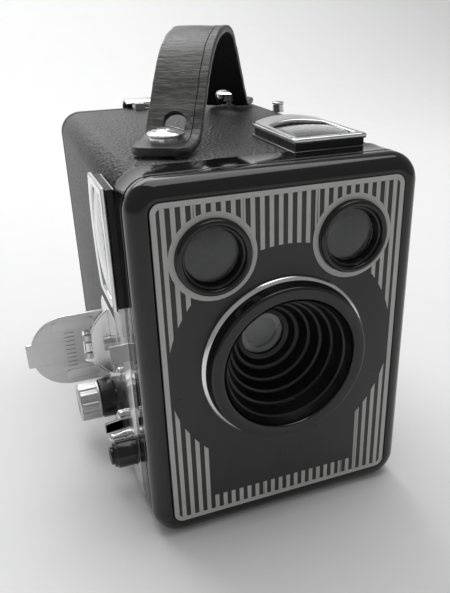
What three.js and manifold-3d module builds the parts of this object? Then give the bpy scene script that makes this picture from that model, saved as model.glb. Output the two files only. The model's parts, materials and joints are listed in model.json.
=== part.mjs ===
// Box camera for 620 roll film, millimetres, +Z up.
// The origin is the centre of the underside. X runs to the right seen from the front,
// and Y runs from front to back.
import * as THREE from 'three';
import { mergeVertices } from 'three/addons/utils/BufferGeometryUtils.js';
import Module from 'manifold-3d';

const wasm = await Module();
wasm.setup();

// ---------------------------------------------------------------- driving dimensions
const CASE_WIDTH = 78;
const CASE_HEIGHT = 103.6;
const CASE_DEPTH = 122;
const CASE_CORNER = 7.5;
const SKIN = 0.6;
const SHEET = 0.8;
const GAP = 0.1;
const FRONT = -CASE_DEPTH / 2;
const behind = (depth) => FRONT + depth;

const LEFT = -CASE_WIDTH / 2;
const SHELL_INSET = SKIN + GAP;
const SHELL_INNER = SHELL_INSET + SHEET;
const WALL_INSIDE = CASE_WIDTH / 2 - SHELL_INNER;
const SHELL_FRONT = 4.9;
const SHELL_BACK = CASE_DEPTH - 7;

const BEZEL = { width: 79, height: 104, depth: 16.5, corner: 8, rim: 4.5, wall: 0.5, front: 2.4 };
const PLATE = { width: 68.5, height: 94, corner: 2.8, thick: 1.2 };
const MIDDLE_Z = BEZEL.height / 2;
const LENS_Z = MIDDLE_Z - 0.5;
const LENS_RING = { foot: 24.2, wall: 23.3, outer: 22.5, inner: 18.75, proud: 4.7 };
const FINDER = { x: 19.2, z: MIDDLE_Z + 31.85, rim: 10.2, bore: 7.2, tube: 8.2, proud: 2 };

const SIDE_PLATE = { front: 17, back: 62, bottom: 2.2, top: 54, stepBack: 36, stepTop: 66.8, thick: 0.9 };
const PLATE_FACE = LEFT - 0.4;
const KEY = { depth: 50, z: 40.5, shaft: 2.6, thick: 1.2, hinge: -46.5, tip: -64.4, half: 12 };
const TAKEUP = { depth: 58, z: 15.3 };
const SUPPLY = { depth: 60, z: 88.5 };
const SPOOL = { length: 65, flange: 12.5, core: 4.6, bore: 3.1, wall: 1 };
const GEAR = { inside: -33.1, outside: -35.5, keyTeeth: 24, spoolTeeth: 16, bore: 2.7 };
const BUTTON = { depth: 26, z: 14, radius: 4.25, tip: -47, travel: 2.5 };
const SLIDE = { depth: 24.9, thick: 0.6, tabLow: 46, tabHigh: 52, filterX: 13 };
const SHUTTER = { x: 10, z: 38, radius: 21, depth: 21.7 };
const RELEASE = { x: -22, z: 27, depth: 22.9 };
const BOARD = { depth: 20.4, thick: 0.8, half: 36.8, low: 2.4, high: 70 };
const FLASH_PIN = { depth: 41.5, z: 9.3 };
const FLASH_SCREW = { depth: 41, z: 18 };
const SIDE_SCREW = { depth: 36.4, z: 36.7 };
const TIME = { depth: 47.1, low: 8.5, high: 12.5, travel: 4 };

const CONE = { front: 27, back: SHELL_BACK - 3, half: [28, 41], wall: 0.8, apex: 17 };
const ROLLER = { depth: SHELL_BACK - 5, radius: 2.3, half: 32.5, journal: 1.5, low: 6.3, high: 97.3 };
const HINGE = { depth: SHELL_BACK - 0.4, z: 1.9, pin: 0.9, knuckle: 1.85, notch: SHELL_BACK - 3 };
const BACK = { front: SHELL_BACK + 0.5, rim: 4.5 };
const WINDOW = { z: 40, radius: 5 };
const LATCH = { depth: SHELL_BACK - 2, z: 105.1, half: 14, barrel: 8, pin: 0.6 };
const BUSH = { depth: 32, radius: 4.6, thread: 3.1, flange: 7, barrel: 5.2 };

const TOP_FINDER = { x: 19.25, front: 13.4, corner: 42.8, back: 46, half: 10.65, top: 107.4 };
const TOP_OPENING = { half: 8.35, front: 15.9, corner: 34.6, back: 37 };
const SIDE_FINDER = { z: FINDER.z, front: 13.4, corner: 32.2, back: 35.6, half: 16.35, face: -42.7 };
const SIDE_OPENING = { half: 14, front: 15.9, corner: 27.5, back: 31.5 };

const STRAP = { width: 16, thick: 2, tip: 8.5, slot: 5.7, slotLength: 12, rise: 29.5 };
const STUD_FRONT = new THREE.Vector2(-21, behind(30.5));
const STUD_REAR = new THREE.Vector2(22, behind(99.5));
const STUD = { head: 5.25, neck: 2.3, rim: 108.9, dome: 110.4 };
const TOP_STUD = { x: 34.2, depth: 82 };

// ---------------------------------------------------------------- materials
const finish = (color, roughness, metalness) =>
  new THREE.MeshStandardMaterial({ color, roughness, metalness });
const enamel = finish(0x0c0c0d, 0.12, 0);
const blackPaint = finish(0x121212, 0.5, 0);
const leatherette = finish(0x2a2a2c, 0.7, 0);
const leather = finish(0x231f1e, 0.6, 0);
const polished = finish(0xdadada, 0.12, 1);
const satin = finish(0xc4c4c2, 0.35, 1);
const steel = finish(0x8d8f92, 0.4, 1);
const brass = finish(0xb49a5a, 0.35, 1);
const printed = finish(0x161616, 0.4, 0);
const clear = finish(0xdfe6ea, 0.05, 0);
const redGel = finish(0x8c1414, 0.2, 0);
const yellowGel = finish(0xd8b21c, 0.2, 0);
const silvered = finish(0xe6e6e6, 0.03, 1);

// ---------------------------------------------------------------- solid helpers
const WELD = 1e-4;

function signedVolume(geometry) {
  const p = geometry.attributes.position;
  const index = geometry.index.array;
  const corners = [new THREE.Vector3(), new THREE.Vector3(), new THREE.Vector3()];
  let volume = 0;
  for (let i = 0; i < index.length; i += 3) {
    corners.forEach((corner, k) => corner.fromBufferAttribute(p, index[i + k]));
    volume += corners[0].dot(corners[1].clone().cross(corners[2])) / 6;
  }
  return volume;
}

// Welds a geometry into one closed skin whose faces point outwards.
function closed(geometry) {
  const bare = geometry.clone();
  bare.deleteAttribute('normal');
  bare.deleteAttribute('uv');
  const welded = mergeVertices(bare, WELD);
  const kept = [];
  const index = welded.index.array;
  for (let i = 0; i < index.length; i += 3) {
    const [a, b, c] = [index[i], index[i + 1], index[i + 2]];
    if (a !== b && b !== c && a !== c) kept.push(a, b, c);
  }
  welded.setIndex(kept);
  if (signedVolume(welded) < 0) {
    for (let i = 0; i < kept.length; i += 3) [kept[i], kept[i + 1]] = [kept[i + 1], kept[i]];
    welded.setIndex(kept);
  }
  return welded;
}

function toSolid(geometry) {
  const mesh = new wasm.Mesh({
    numProp: 3,
    vertProperties: new Float32Array(geometry.attributes.position.array),
    triVerts: new Uint32Array(geometry.index.array),
  });
  mesh.merge();
  return new wasm.Manifold(mesh);
}

function toGeometry(solid) {
  const mesh = solid.getMesh();
  const positions = new Float32Array(mesh.numVert * 3);
  for (let v = 0; v < mesh.numVert; v++) {
    for (let k = 0; k < 3; k++) positions[3 * v + k] = mesh.vertProperties[v * mesh.numProp + k];
  }
  const geometry = new THREE.BufferGeometry();
  geometry.setAttribute('position', new THREE.BufferAttribute(positions, 3));
  geometry.setIndex(Array.from(mesh.triVerts));
  return geometry;
}

const combine = (how) => (first, ...others) =>
  toGeometry(others.reduce((solid, other) => solid[how](toSolid(other)), toSolid(first)));
const join = combine('add');
const cut = combine('subtract');
const common = combine('intersect');

const box = (x0, x1, d0, d1, z0, z1) =>
  closed(new THREE.BoxGeometry(x1 - x0, d1 - d0, z1 - z0)
    .translate((x0 + x1) / 2, behind((d0 + d1) / 2), (z0 + z1) / 2));

// An outline drawn across one axis of the camera and extruded along that axis.
const ACROSS = {
  x: new THREE.Matrix4().makeBasis(
    new THREE.Vector3(0, 1, 0), new THREE.Vector3(0, 0, 1), new THREE.Vector3(1, 0, 0)),
  y: new THREE.Matrix4().makeBasis(
    new THREE.Vector3(1, 0, 0), new THREE.Vector3(0, 0, 1), new THREE.Vector3(0, -1, 0)),
  z: new THREE.Matrix4(),
};

function slab(axis, shape, from, to, curveSegments = 8) {
  const settings = { depth: to - from, bevelEnabled: false, curveSegments };
  const geometry = new THREE.ExtrudeGeometry(shape, settings);
  geometry.applyMatrix4(ACROSS[axis]);
  const shift = { x: [from, 0, 0], y: [0, to, 0], z: [0, 0, from] }[axis];
  return closed(geometry.translate(...shift));
}

function roundedRect(width, height, radius, cx = 0, cy = 0) {
  const [w, h, r] = [width / 2, height / 2, radius];
  const shape = new THREE.Shape();
  shape.absarc(cx + w - r, cy - h + r, r, -Math.PI / 2, 0);
  shape.absarc(cx + w - r, cy + h - r, r, 0, Math.PI / 2);
  shape.absarc(cx - w + r, cy + h - r, r, Math.PI / 2, Math.PI);
  shape.absarc(cx - w + r, cy - h + r, r, Math.PI, 1.5 * Math.PI);
  return shape;
}

const disc = (radius, cx = 0, cy = 0) => new THREE.Shape().absarc(cx, cy, radius, 0, 2 * Math.PI);

function polygon(points) {
  return new THREE.Shape(points.map(([u, v]) => new THREE.Vector2(u, v)));
}

// A solid of revolution; profile points are [radius, distance along the axis].
function turned(axis, profile, at = [0, 0, 0], segments = 20) {
  const points = profile.map(([r, h]) => new THREE.Vector2(r, h));
  const geometry = new THREE.LatheGeometry([...points, points[0]], segments);
  if (axis === 'x') geometry.rotateZ(-Math.PI / 2);
  if (axis === 'z') geometry.rotateX(Math.PI / 2);
  return closed(geometry.translate(...at));
}

const rod = (axis, radius, from, to, at, segments = 16) =>
  turned(axis, [[0, from], [radius, from], [radius, to], [0, to]], at, segments);

const tube = (axis, inner, outer, from, to, at, segments = 20) =>
  turned(axis, [[inner, from], [outer, from], [outer, to], [inner, to]], at, segments);

// A closed solid through a row of equal outlines, each a list of [x, z] at its own depth.
function loft(sections) {
  const count = sections[0].points.length;
  const positions = [];
  const index = [];
  for (const { depth, points } of sections) {
    for (const [x, z] of points) positions.push(x, behind(depth), z);
  }
  for (let s = 0; s + 1 < sections.length; s++) {
    for (let i = 0; i < count; i++) {
      const [a, b] = [s * count + i, s * count + (i + 1) % count];
      index.push(a, b, b + count, a, b + count, a + count);
    }
  }
  const last = (sections.length - 1) * count;
  for (let i = 1; i + 1 < count; i++) {
    index.push(0, i + 1, i, last, last + i, last + i + 1);
  }
  const geometry = new THREE.BufferGeometry();
  geometry.setAttribute('position', new THREE.BufferAttribute(new Float32Array(positions), 3));
  geometry.setIndex(index);
  return closed(geometry);
}

// Arcs come out with two steps for each division.
function rectPoints(width, height, radius, cz, divisions = 3) {
  return roundedRect(width, height, radius, 0, cz).getPoints(divisions)
    .map((point) => [point.x, point.y]).slice(0, 4 * (2 * divisions + 1));
}

// ---------------------------------------------------------------- case
const caseShape = (inset) => roundedRect(CASE_WIDTH - 2 * inset, CASE_HEIGHT - 2 * inset,
  CASE_CORNER - inset, 0, CASE_HEIGHT / 2);

function caseTube(outerInset, innerInset, from, to) {
  const shape = caseShape(outerInset);
  shape.holes.push(caseShape(innerInset));
  return slab('y', shape, behind(from), behind(to), 3);
}

// Everything that passes through the left wall, as cutters along X.
function leftWallCutters() {
  const [from, to] = [LEFT - 3, -WALL_INSIDE + 1];
  const hole = (radius, { depth, z }) => rod('x', radius, from, to, [0, behind(depth), z], 12);
  return [
    hole(BUTTON.radius + 0.25, BUTTON),
    hole(KEY.shaft + 0.2, KEY),
    hole(KEY.shaft + 0.2, TAKEUP),
    hole(1.3, FLASH_PIN),
    hole(1.3, FLASH_SCREW),
    hole(0.9, SIDE_SCREW),
    box(from, to, SLIDE.depth - 0.7, SLIDE.depth + 0.7, SLIDE.tabLow - 0.5, SLIDE.tabHigh + 0.5),
    box(from, to, TIME.depth - 0.9, TIME.depth + 0.9, TIME.low - 0.6, TIME.high + TIME.travel + 0.6),
  ];
}

const sideWindow = () => box(LEFT - 3, -WALL_INSIDE + 1, 16.9, 32, 71.6, 96.1);
const topWindow = () => box(9.6, 28.9, 16.9, 41.4, CASE_HEIGHT - 3, CASE_HEIGHT + 3);

function topCutters() {
  const [from, to] = [CASE_HEIGHT - 3, CASE_HEIGHT + 2];
  return [
    rod('z', STUD.neck + 0.2, from, to, [STUD_FRONT.x, STUD_FRONT.y, 0], 12),
    rod('z', STUD.neck + 0.2, from, to, [STUD_REAR.x, STUD_REAR.y, 0], 12),
    rod('z', 1.2, from, to, [TOP_STUD.x, behind(TOP_STUD.depth), 0], 10),
  ];
}

const bushHole = () => rod('z', BUSH.radius + 0.2, -1, 4, [0, behind(BUSH.depth), 0], 16);
const hingeNotch = () => box(-CASE_WIDTH, CASE_WIDTH, HINGE.notch, SHELL_BACK + 1, -1, 4.2);

function knuckle(x0, x1, towards) {
  const at = [0, behind(HINGE.depth), HINGE.z];
  const barrel = rod('x', HINGE.knuckle, x0, x1, at, 12);
  const leaf = towards < 0
    ? box(x0, x1, HINGE.notch - 2, HINGE.depth, 2.4, 2.4 + SHEET)
    : box(x0, x1, HINGE.depth, BACK.front + 3, 1.2, 3);
  return { solid: join(barrel, leaf), bore: rod('x', HINGE.pin + 0.1, x0 - 1, x1 + 1, at, 10) };
}

function bodyShell() {
  const walls = cut(caseTube(SHELL_INSET, SHELL_INNER, SHELL_FRONT, SHELL_BACK),
    ...leftWallCutters(), sideWindow(), topWindow(), ...topCutters(), bushHole(), hingeNotch(),
    rod('x', 1.2, LEFT - 1, -WALL_INSIDE + 1, [0, behind(SUPPLY.depth), SUPPLY.z], 16));
  const bracket = (x0, x1) => box(x0, x1, HINGE.notch - 4, HINGE.notch - 2, 1.2, 2.4 + SHEET);
  const left = knuckle(-33, -29.6, -1);
  const right = knuckle(29.6, 33, -1);
  const joined = join(walls, bracket(-33, -29.6), bracket(29.6, 33),
    box(-33, -29.6, HINGE.notch - 3, HINGE.notch - 1, 2.4, 2.4 + SHEET),
    box(29.6, 33, HINGE.notch - 3, HINGE.notch - 1, 2.4, 2.4 + SHEET), left.solid, right.solid);
  return cut(joined, left.bore, right.bore);
}

function sidePlateShape(margin) {
  const { front, back, bottom, top, stepBack, stepTop } = SIDE_PLATE;
  return polygon([
    [behind(front - margin), bottom - margin], [behind(back + margin), bottom - margin],
    [behind(back + margin), top - 4 + margin], [behind(back - 4 + margin), top + margin],
    [behind(stepBack + margin), top + margin], [behind(stepBack + margin), stepTop + margin],
    [behind(front - margin), stepTop + margin],
  ]);
}

function leatheretteWrap() {
  return cut(caseTube(0, SKIN, BEZEL.depth + 0.4, SHELL_BACK),
    slab('x', sidePlateShape(0.2), LEFT - 1, LEFT + SKIN + 0.3),
    ...leftWallCutters(), sideWindow(), topWindow(), ...topCutters(), bushHole(), hingeNotch());
}

function sidePlate() {
  const body = slab('x', sidePlateShape(0), PLATE_FACE, PLATE_FACE + SIDE_PLATE.thick);
  return cut(body, ...leftWallCutters());
}

function frontBezel() {
  const { width, height, depth, corner, rim, wall, front } = BEZEL;
  const section = (at, inset) => ({
    depth: at,
    points: rectPoints(width - 2 * inset, height - 2 * inset, corner - inset, MIDDLE_Z),
  });
  const sections = [];
  for (let i = 0; i <= 4; i++) {
    const angle = (i / 4) * (Math.PI / 2);
    sections.push(section(rim * (1 - Math.sin(angle)), rim * (1 - Math.cos(angle))));
  }
  sections.reverse();
  sections.push(section(6.4, 0), section(6.5, 0.3), section(7, 0.3), section(7.1, 0), section(depth, 0));
  const outer = loft(sections);
  const recess = slab('y', roundedRect(PLATE.width + 0.4, PLATE.height + 0.4, PLATE.corner, 0, MIDDLE_Z),
    behind(-1), behind(PLATE.thick + GAP), 2);
  const shoulder = slab('y', roundedRect(72, 97, 5, 0, MIDDLE_Z), behind(front), behind(6), 2);
  const inside = slab('y', roundedRect(width - 2 * wall, height - 2 * wall, corner - wall, 0, MIDDLE_Z),
    behind(4.7), behind(depth + 1), 3);
  return cut(outer, recess, shoulder, inside, ...frontHoles());
}

function frontHoles() {
  const eye = (x) => rod('y', FINDER.tube + 0.2, behind(-2), behind(5), [x, 0, FINDER.z], 20);
  return [eye(-FINDER.x), eye(FINDER.x), rod('y', 18.2, behind(-2), behind(5), [0, 0, LENS_Z], 24)];
}

function frontPlate() {
  const body = slab('y', roundedRect(PLATE.width, PLATE.height, PLATE.corner, 0, MIDDLE_Z),
    behind(0), behind(PLATE.thick), 2);
  return cut(body, ...frontHoles());
}

// ---------------------------------------------------------------- lens
const onLensAxis = [0, FRONT, LENS_Z];

const lensRing = () => {
  const { foot, wall, inner, outer, proud } = LENS_RING;
  return turned('y', [[inner, -0.05], [inner, -proud + 0.4], [inner + 0.4, -proud], [outer - 0.8, -proud],
    [outer, -proud + 0.8], [wall, -1.3], [foot, -0.5], [foot, -0.05]], onLensAxis, 36);
};

// A stepped black cone that narrows from the mouth of the ring to the glass.
function lensHood() {
  const inside = [[18.2, -4.6], [17.2, -1.5], [15.6, -1.5], [14, 4], [12, 4], [10.4, 9.5], [9, 9.5],
    [6.6, 15.6]];
  const outside = [[10, 15.6], [10, 14.5], [17.4, 2.6], [17.4, 0.4], [18.6, -3.4], [18.6, -4.6]];
  return turned('y', [...inside, ...outside], onLensAxis, 24);
}

const coverGlass = () => rod('y', 8, 15.9, 17, onLensAxis, 20);

function meniscusLens() {
  return turned('y', [[0, 17.6], [4, 17.9], [8, 18.6], [8, 19.5], [4, 19.1], [0, 18.9]], onLensAxis);
}

const lensRetainer = () => turned('y', [[8.3, 15.9], [11.5, 15.9], [11.5, 19.8], [7, 19.8], [7, 19.6],
  [8.3, 19.6]], onLensAxis);

// ---------------------------------------------------------------- finders
const finderBezel = () => turned('y', [[FINDER.bore, 3.4], [FINDER.bore, -0.6], [FINDER.bore + 0.5, -1.5],
  [8.6, -FINDER.proud], [9.5, -1.7], [FINDER.rim, -0.8], [FINDER.rim, -0.05], [FINDER.tube, -0.05],
  [FINDER.tube, 3.4]], [0, 0, 0], 20);

const finderObjective = () => turned('y', [[0, 0.6], [4, 0.9], [FINDER.bore - 0.15, 1.7],
  [FINDER.bore - 0.15, 2.4], [0, 2.6]], [0, 0, 0], 20);

// Outlines with a straight front edge and an arched rear edge, in [across, depth].
function archedShape(half, front, corner, back, segments = 6) {
  const sagitta = back - corner;
  const radius = (half * half + sagitta * sagitta) / (2 * sagitta);
  const sweep = Math.asin(half / radius);
  const points = [[-half, behind(front)], [half, behind(front)]];
  for (let i = 0; i <= segments; i++) {
    const angle = sweep - (2 * sweep * i) / segments;
    points.push([radius * Math.sin(angle), behind(back - radius) + radius * Math.cos(angle)]);
  }
  return points;
}

const topOutline = ({ half, front, corner, back }) =>
  polygon(archedShape(half, front, corner, back).map(([across, y]) => [TOP_FINDER.x + across, y]));
const sideOutline = ({ half, front, corner, back }) =>
  polygon(archedShape(half, front, corner, back)
    .map(([across, y]) => [y, SIDE_FINDER.z - across])
    .reverse());
const shrunk = ({ half, front, corner, back }, by) =>
  ({ half: half - by, front: front + by, corner: corner - by, back: back - by });

function topFinderFrame() {
  const body = slab('z', topOutline(TOP_FINDER), 106, TOP_FINDER.top);
  return cut(body, slab('z', topOutline(TOP_OPENING), 105, 109));
}

function topFinderLens() {
  const radius = 38;
  const blank = slab('z', topOutline(shrunk(TOP_OPENING, 0.3)), 104.4, 109);
  const dome = closed(new THREE.SphereGeometry(radius, 48, 48)
    .translate(TOP_FINDER.x, behind(26.4), TOP_FINDER.top + 0.5 - radius));
  return common(blank, dome);
}

function topFinderBox() {
  const collar = cut(slab('z', topOutline(shrunk(TOP_FINDER, 0.5)), 104.15, 105.9),
    slab('z', topOutline(TOP_OPENING), 104, 106));
  const sleeve = cut(box(9.9, 28.6, 17.1, 41.2, 72.5, 104.4), box(10.7, 27.8, 17.9, 40.4, 73.3, 105),
    rod('y', FINDER.bore + 0.3, behind(15), behind(20), [FINDER.x, 0, FINDER.z], 24));
  const trim = box(9, 30, 16, 18, 104.15, 105);
  return join(collar, cut(sleeve, trim));
}

function sideFinderFrame() {
  const { face } = SIDE_FINDER;
  return cut(slab('x', sideOutline(SIDE_FINDER), face, face + 1.4),
    slab('x', sideOutline(SIDE_OPENING), face - 1, face + 3));
}

function sideFinderLens() {
  const radius = 42;
  const { face } = SIDE_FINDER;
  const blank = slab('x', sideOutline(shrunk(SIDE_OPENING, 0.3)), face - 1, -39.9);
  const dome = closed(new THREE.SphereGeometry(radius, 48, 48)
    .translate(face - 0.4 + radius, behind(23.7), SIDE_FINDER.z));
  return common(blank, dome);
}

function sideFinderBox() {
  const collar = cut(slab('x', sideOutline(shrunk(SIDE_FINDER, 0.5)), -41.2, -39.6),
    slab('x', sideOutline(SIDE_OPENING), -42, -39));
  const neck = box(-39.7, -36.8, 17.1, 31.8, 71.8, 95.9);
  const chamber = box(-36.9, -9, 17.1, 37, 71.8, 95.9);
  const hollow = join(box(-43, -36, 17.9, 31, 72.6, 95.1), box(-36.1, -9.8, 17.9, 36.2, 72.6, 95.1));
  const eye = rod('y', FINDER.bore + 0.3, behind(15), behind(20), [-FINDER.x, 0, FINDER.z], 24);
  return join(collar, cut(join(neck, chamber), hollow, eye));
}

// The mirrors stand at 45 degrees to the objectives' axes, in the middle of their boxes.
const mirror = (width, length) => closed(new THREE.BoxGeometry(width, length, 1.2));

// ---------------------------------------------------------------- shutter and controls
function shutterBoard() {
  const [from, to] = [BOARD.depth - BOARD.thick / 2, BOARD.depth + BOARD.thick / 2];
  const sheet = box(-BOARD.half, BOARD.half, from, to, BOARD.low, BOARD.high);
  const corners = [[-37.5, -32], [32, 37.5]].map(([x0, x1]) => box(x0, x1, from - 1, to + 1, 1, 6));
  const stud = ({ x, z }, end) => rod('y', 1.2, behind(BOARD.depth), behind(end), [x, 0, z], 16);
  return join(cut(sheet, rod('y', 4, behind(19), behind(22), [0, 0, LENS_Z], 16), ...corners),
    stud(SHUTTER, 23.4), stud(RELEASE, 26));
}

// A sector blade with a curved slot that crosses the lens as the blade swings.
function shutterDisc() {
  const { x, z, radius, depth } = SHUTTER;
  const toLens = Math.atan2(LENS_Z - z, -x);
  const reach = Math.hypot(LENS_Z - z, x);
  const blade = new THREE.Shape();
  blade.absarc(x, z, radius, toLens - 1.15, toLens + 0.45);
  blade.absarc(x, z, 4, toLens + 0.45, toLens - 1.15 + 2 * Math.PI);
  const slot = new THREE.Shape();
  slot.absarc(x, z, reach + 4, toLens - 0.85, toLens - 0.5);
  slot.absarc(x, z, reach - 4, toLens - 0.5, toLens - 0.85, true);
  const [from, to] = [behind(depth - 0.3), behind(depth + 0.3)];
  return cut(slab('y', blade, from, to, 8), slab('y', slot, from - 1, to + 1, 4),
    rod('y', 1.3, from - 1, to + 1, [x, 0, z], 16));
}

function releaseLever() {
  const { x, z, depth } = RELEASE;
  const [from, to] = [depth - 0.4, depth + 0.4];
  const arm = polygon([[-33.4, 11.4], [-30.6, 11.4], [x + 2.4, z - 1], [x + 2.6, z + 1], [-11, 33.6],
    [-11.6, 36], [x - 1, z + 3], [x - 3, z + 0.5]]);
  const tab = box(-31.6, -30.8, from, 28, 12, 16);
  return cut(join(slab('y', arm, behind(from), behind(to)), tab),
    rod('y', 1.3, behind(from - 1), behind(to + 1), [x, 0, z], 16));
}

// Hairpin spring: two turns round the lever's stud with a leg at each end.
function shutterSpring() {
  const { x, z } = RELEASE;
  const points = [new THREE.Vector3(x - 9, behind(23.8), z - 2)];
  for (let i = 0; i <= 24; i++) {
    const angle = -Math.PI / 2 - (i / 24) * 4 * Math.PI;
    const depth = 23.8 + (i / 24) * 1.7;
    points.push(new THREE.Vector3(x + 2 * Math.cos(angle), behind(depth), z + 2 * Math.sin(angle)));
  }
  points.push(new THREE.Vector3(x - 9, behind(25.5), z - 4));
  const path = new THREE.CatmullRomCurve3(points);
  const section = new THREE.Shape().absarc(0, 0, 0.25, 0, 2 * Math.PI);
  return closed(new THREE.ExtrudeGeometry(section, { steps: 40, curveSegments: 2, extrudePath: path }));
}

function releaseButton() {
  const { depth, z, radius, tip } = BUTTON;
  return turned('x', [[0, tip], [radius - 1.6, tip], [radius - 1.4, tip + 0.9], [radius - 0.6, tip + 1],
    [radius - 0.4, tip + 1.9], [radius, tip + 2.2], [radius, -38], [1.8, -38], [1.8, -31.9], [0, -31.9]],
  [0, behind(depth), z], 20);
}

const releaseGuide = () =>
  tube('x', BUTTON.radius + 0.2, 5.1, -37.4, -34.6, [0, behind(BUTTON.depth), BUTTON.z], 14);

function timeLever() {
  const { depth, low, high } = TIME;
  const tab = slab('y', polygon([[-45, low - 0.5], [-36.8, low], [-36.8, high], [-45, high - 1]]),
    behind(depth - 0.5), behind(depth + 0.5));
  return join(tab, box(-37.3, -36.8, 33, depth + 0.5, low, high));
}

function filterSlide() {
  const { depth, thick, tabLow, tabHigh, filterX } = SLIDE;
  const outline = [[-43.6, tabLow + 0.2], [-22, tabLow], [-22, 45], [21, 45], [21, 58], [-22, 58],
    [-22, tabHigh], [-43.6, tabHigh - 0.2]];
  const serrations = 6;
  for (let i = 0; i < serrations; i++) {
    const top = tabHigh - 0.2 - (i * (tabHigh - tabLow - 0.4)) / serrations;
    outline.push([-43.1, top - 0.3], [-43.6, top - 0.75]);
  }
  outline.pop();
  const [from, to] = [behind(depth - thick / 2), behind(depth + thick / 2)];
  const hole = (radius, x) => rod('y', radius, from - 1, to + 1, [x, 0, LENS_Z], 16);
  return cut(slab('y', polygon(outline), from, to), hole(4.6, 0), hole(5.2, filterX));
}

const yellowFilter = () =>
  rod('y', 5, SLIDE.depth - 0.25, SLIDE.depth + 0.25, [SLIDE.filterX, FRONT, LENS_Z], 16);

const onSide = ({ depth, z }) => [0, behind(depth), z];

const flashPin = () => turned('x', [[0, -45], [0.8, -44.8], [1.3, -44.3], [1.5, -43.6],
  [1.5, PLATE_FACE - GAP], [1.1, PLATE_FACE - GAP], [1.1, -37.7], [0, -37.7]], onSide(FLASH_PIN), 14);

const flashScrew = () => cut(turned('x', [[0, -41.4], [1.2, -41.4], [1.7, -40.9], [1.7, PLATE_FACE - GAP],
  [1.1, PLATE_FACE - GAP], [1.1, -37.7], [0, -37.7]], onSide(FLASH_SCREW), 14),
rod('x', 0.7, -43, -40.2, onSide(FLASH_SCREW), 12));

const sideScrew = () => cut(turned('x', [[0, -40.6], [1, -40.4], [1.6, -39.9], [1.6, PLATE_FACE - GAP],
  [0.7, PLATE_FACE - GAP], [0.7, -37.7], [0, -37.7]], onSide(SIDE_SCREW), 12),
box(-42, -40.3, SIDE_SCREW.depth - 0.2, SIDE_SCREW.depth + 0.2, SIDE_SCREW.z - 3, SIDE_SCREW.z + 3));

// ---------------------------------------------------------------- film advance
const onKey = onSide(KEY);
const onTakeup = onSide(TAKEUP);

const GEAR_CENTRES = Math.hypot(KEY.depth - TAKEUP.depth, KEY.z - TAKEUP.z);
const GEAR_MODULE = (2 * GEAR_CENTRES) / (GEAR.keyTeeth + GEAR.spoolTeeth);

// Straight-sided teeth; one tooth or one gap lies at the given angle.
function gearShape(teeth, angle, startsWithGap) {
  const pitchRadius = (GEAR_MODULE * teeth) / 2;
  const [tip, root] = [pitchRadius + 0.85 * GEAR_MODULE, pitchRadius - 1.1 * GEAR_MODULE];
  const step = (2 * Math.PI) / teeth;
  const points = [];
  for (let i = 0; i < teeth; i++) {
    const middle = angle + (i + (startsWithGap ? 0.5 : 0)) * step;
    for (const [share, radius] of [[-0.27, root], [-0.13, tip], [0.13, tip], [0.27, root]]) {
      points.push([radius * Math.cos(middle + share * step), radius * Math.sin(middle + share * step)]);
    }
  }
  return polygon(points);
}

const towardsTakeup = Math.atan2(TAKEUP.z - KEY.z, TAKEUP.depth - KEY.depth);

function keyGear() {
  const blank = slab('x', gearShape(GEAR.keyTeeth, towardsTakeup, false), GEAR.outside, GEAR.inside)
    .translate(0, behind(KEY.depth), KEY.z);
  return cut(blank, rod('x', GEAR.bore, GEAR.outside - 1, GEAR.inside + 1, onKey));
}

// Gear, shaft and driving tongue of the take-up side are one turned piece.
function spoolGear() {
  const { depth, z } = TAKEUP;
  const teeth = gearShape(GEAR.spoolTeeth, towardsTakeup + Math.PI, true);
  const blank = slab('x', teeth, GEAR.outside, GEAR.inside).translate(0, behind(depth), z);
  const tongue = box(GEAR.inside - 0.5, -30, depth - 0.6, depth + 0.6, z - 2.4, z + 2.4);
  return join(blank, rod('x', KEY.shaft, -49.5, GEAR.outside + 0.5, onTakeup, 20), tongue);
}

function keyShaft() {
  const slot = box(-43, PLATE_FACE - 0.35, KEY.depth - 0.7, KEY.depth + 0.7, KEY.z - 5, KEY.z + 5);
  return cut(rod('x', KEY.shaft, -41.8, GEAR.inside + 0.6, onKey, 20), slot);
}

// Flat outlines of the key lie in the X-Z plane through its shaft.
const keySlab = (shape, segments = 8) =>
  slab('y', shape, behind(KEY.depth - KEY.thick / 2), behind(KEY.depth + KEY.thick / 2), segments);
const keyBox = (x0, x1, z0, z1) => box(x0, x1, KEY.depth - 1.6, KEY.depth + 1.6, KEY.z + z0, KEY.z + z1);
const keyBarrel = (z0, z1) => rod('z', 1.3, KEY.z + z0, KEY.z + z1, [KEY.hinge, behind(KEY.depth), 0], 12);
const keyBore = () => rod('z', 0.75, KEY.z - 6, KEY.z + 6, [KEY.hinge, behind(KEY.depth), 0], 10);

function keyStub() {
  const segment = common(keySlab(disc(13.7, -32.3, KEY.z), 20), keyBox(-50, PLATE_FACE - 0.4, -11.8, 11.8));
  const relief = [-1, 1].map((side) => keyBox(-50, -44.8, side > 0 ? 1.9 : -4.4, side > 0 ? 4.4 : -1.9));
  return cut(join(cut(segment, ...relief), keyBarrel(-1.7, 1.7)), keyBore());
}

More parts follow.
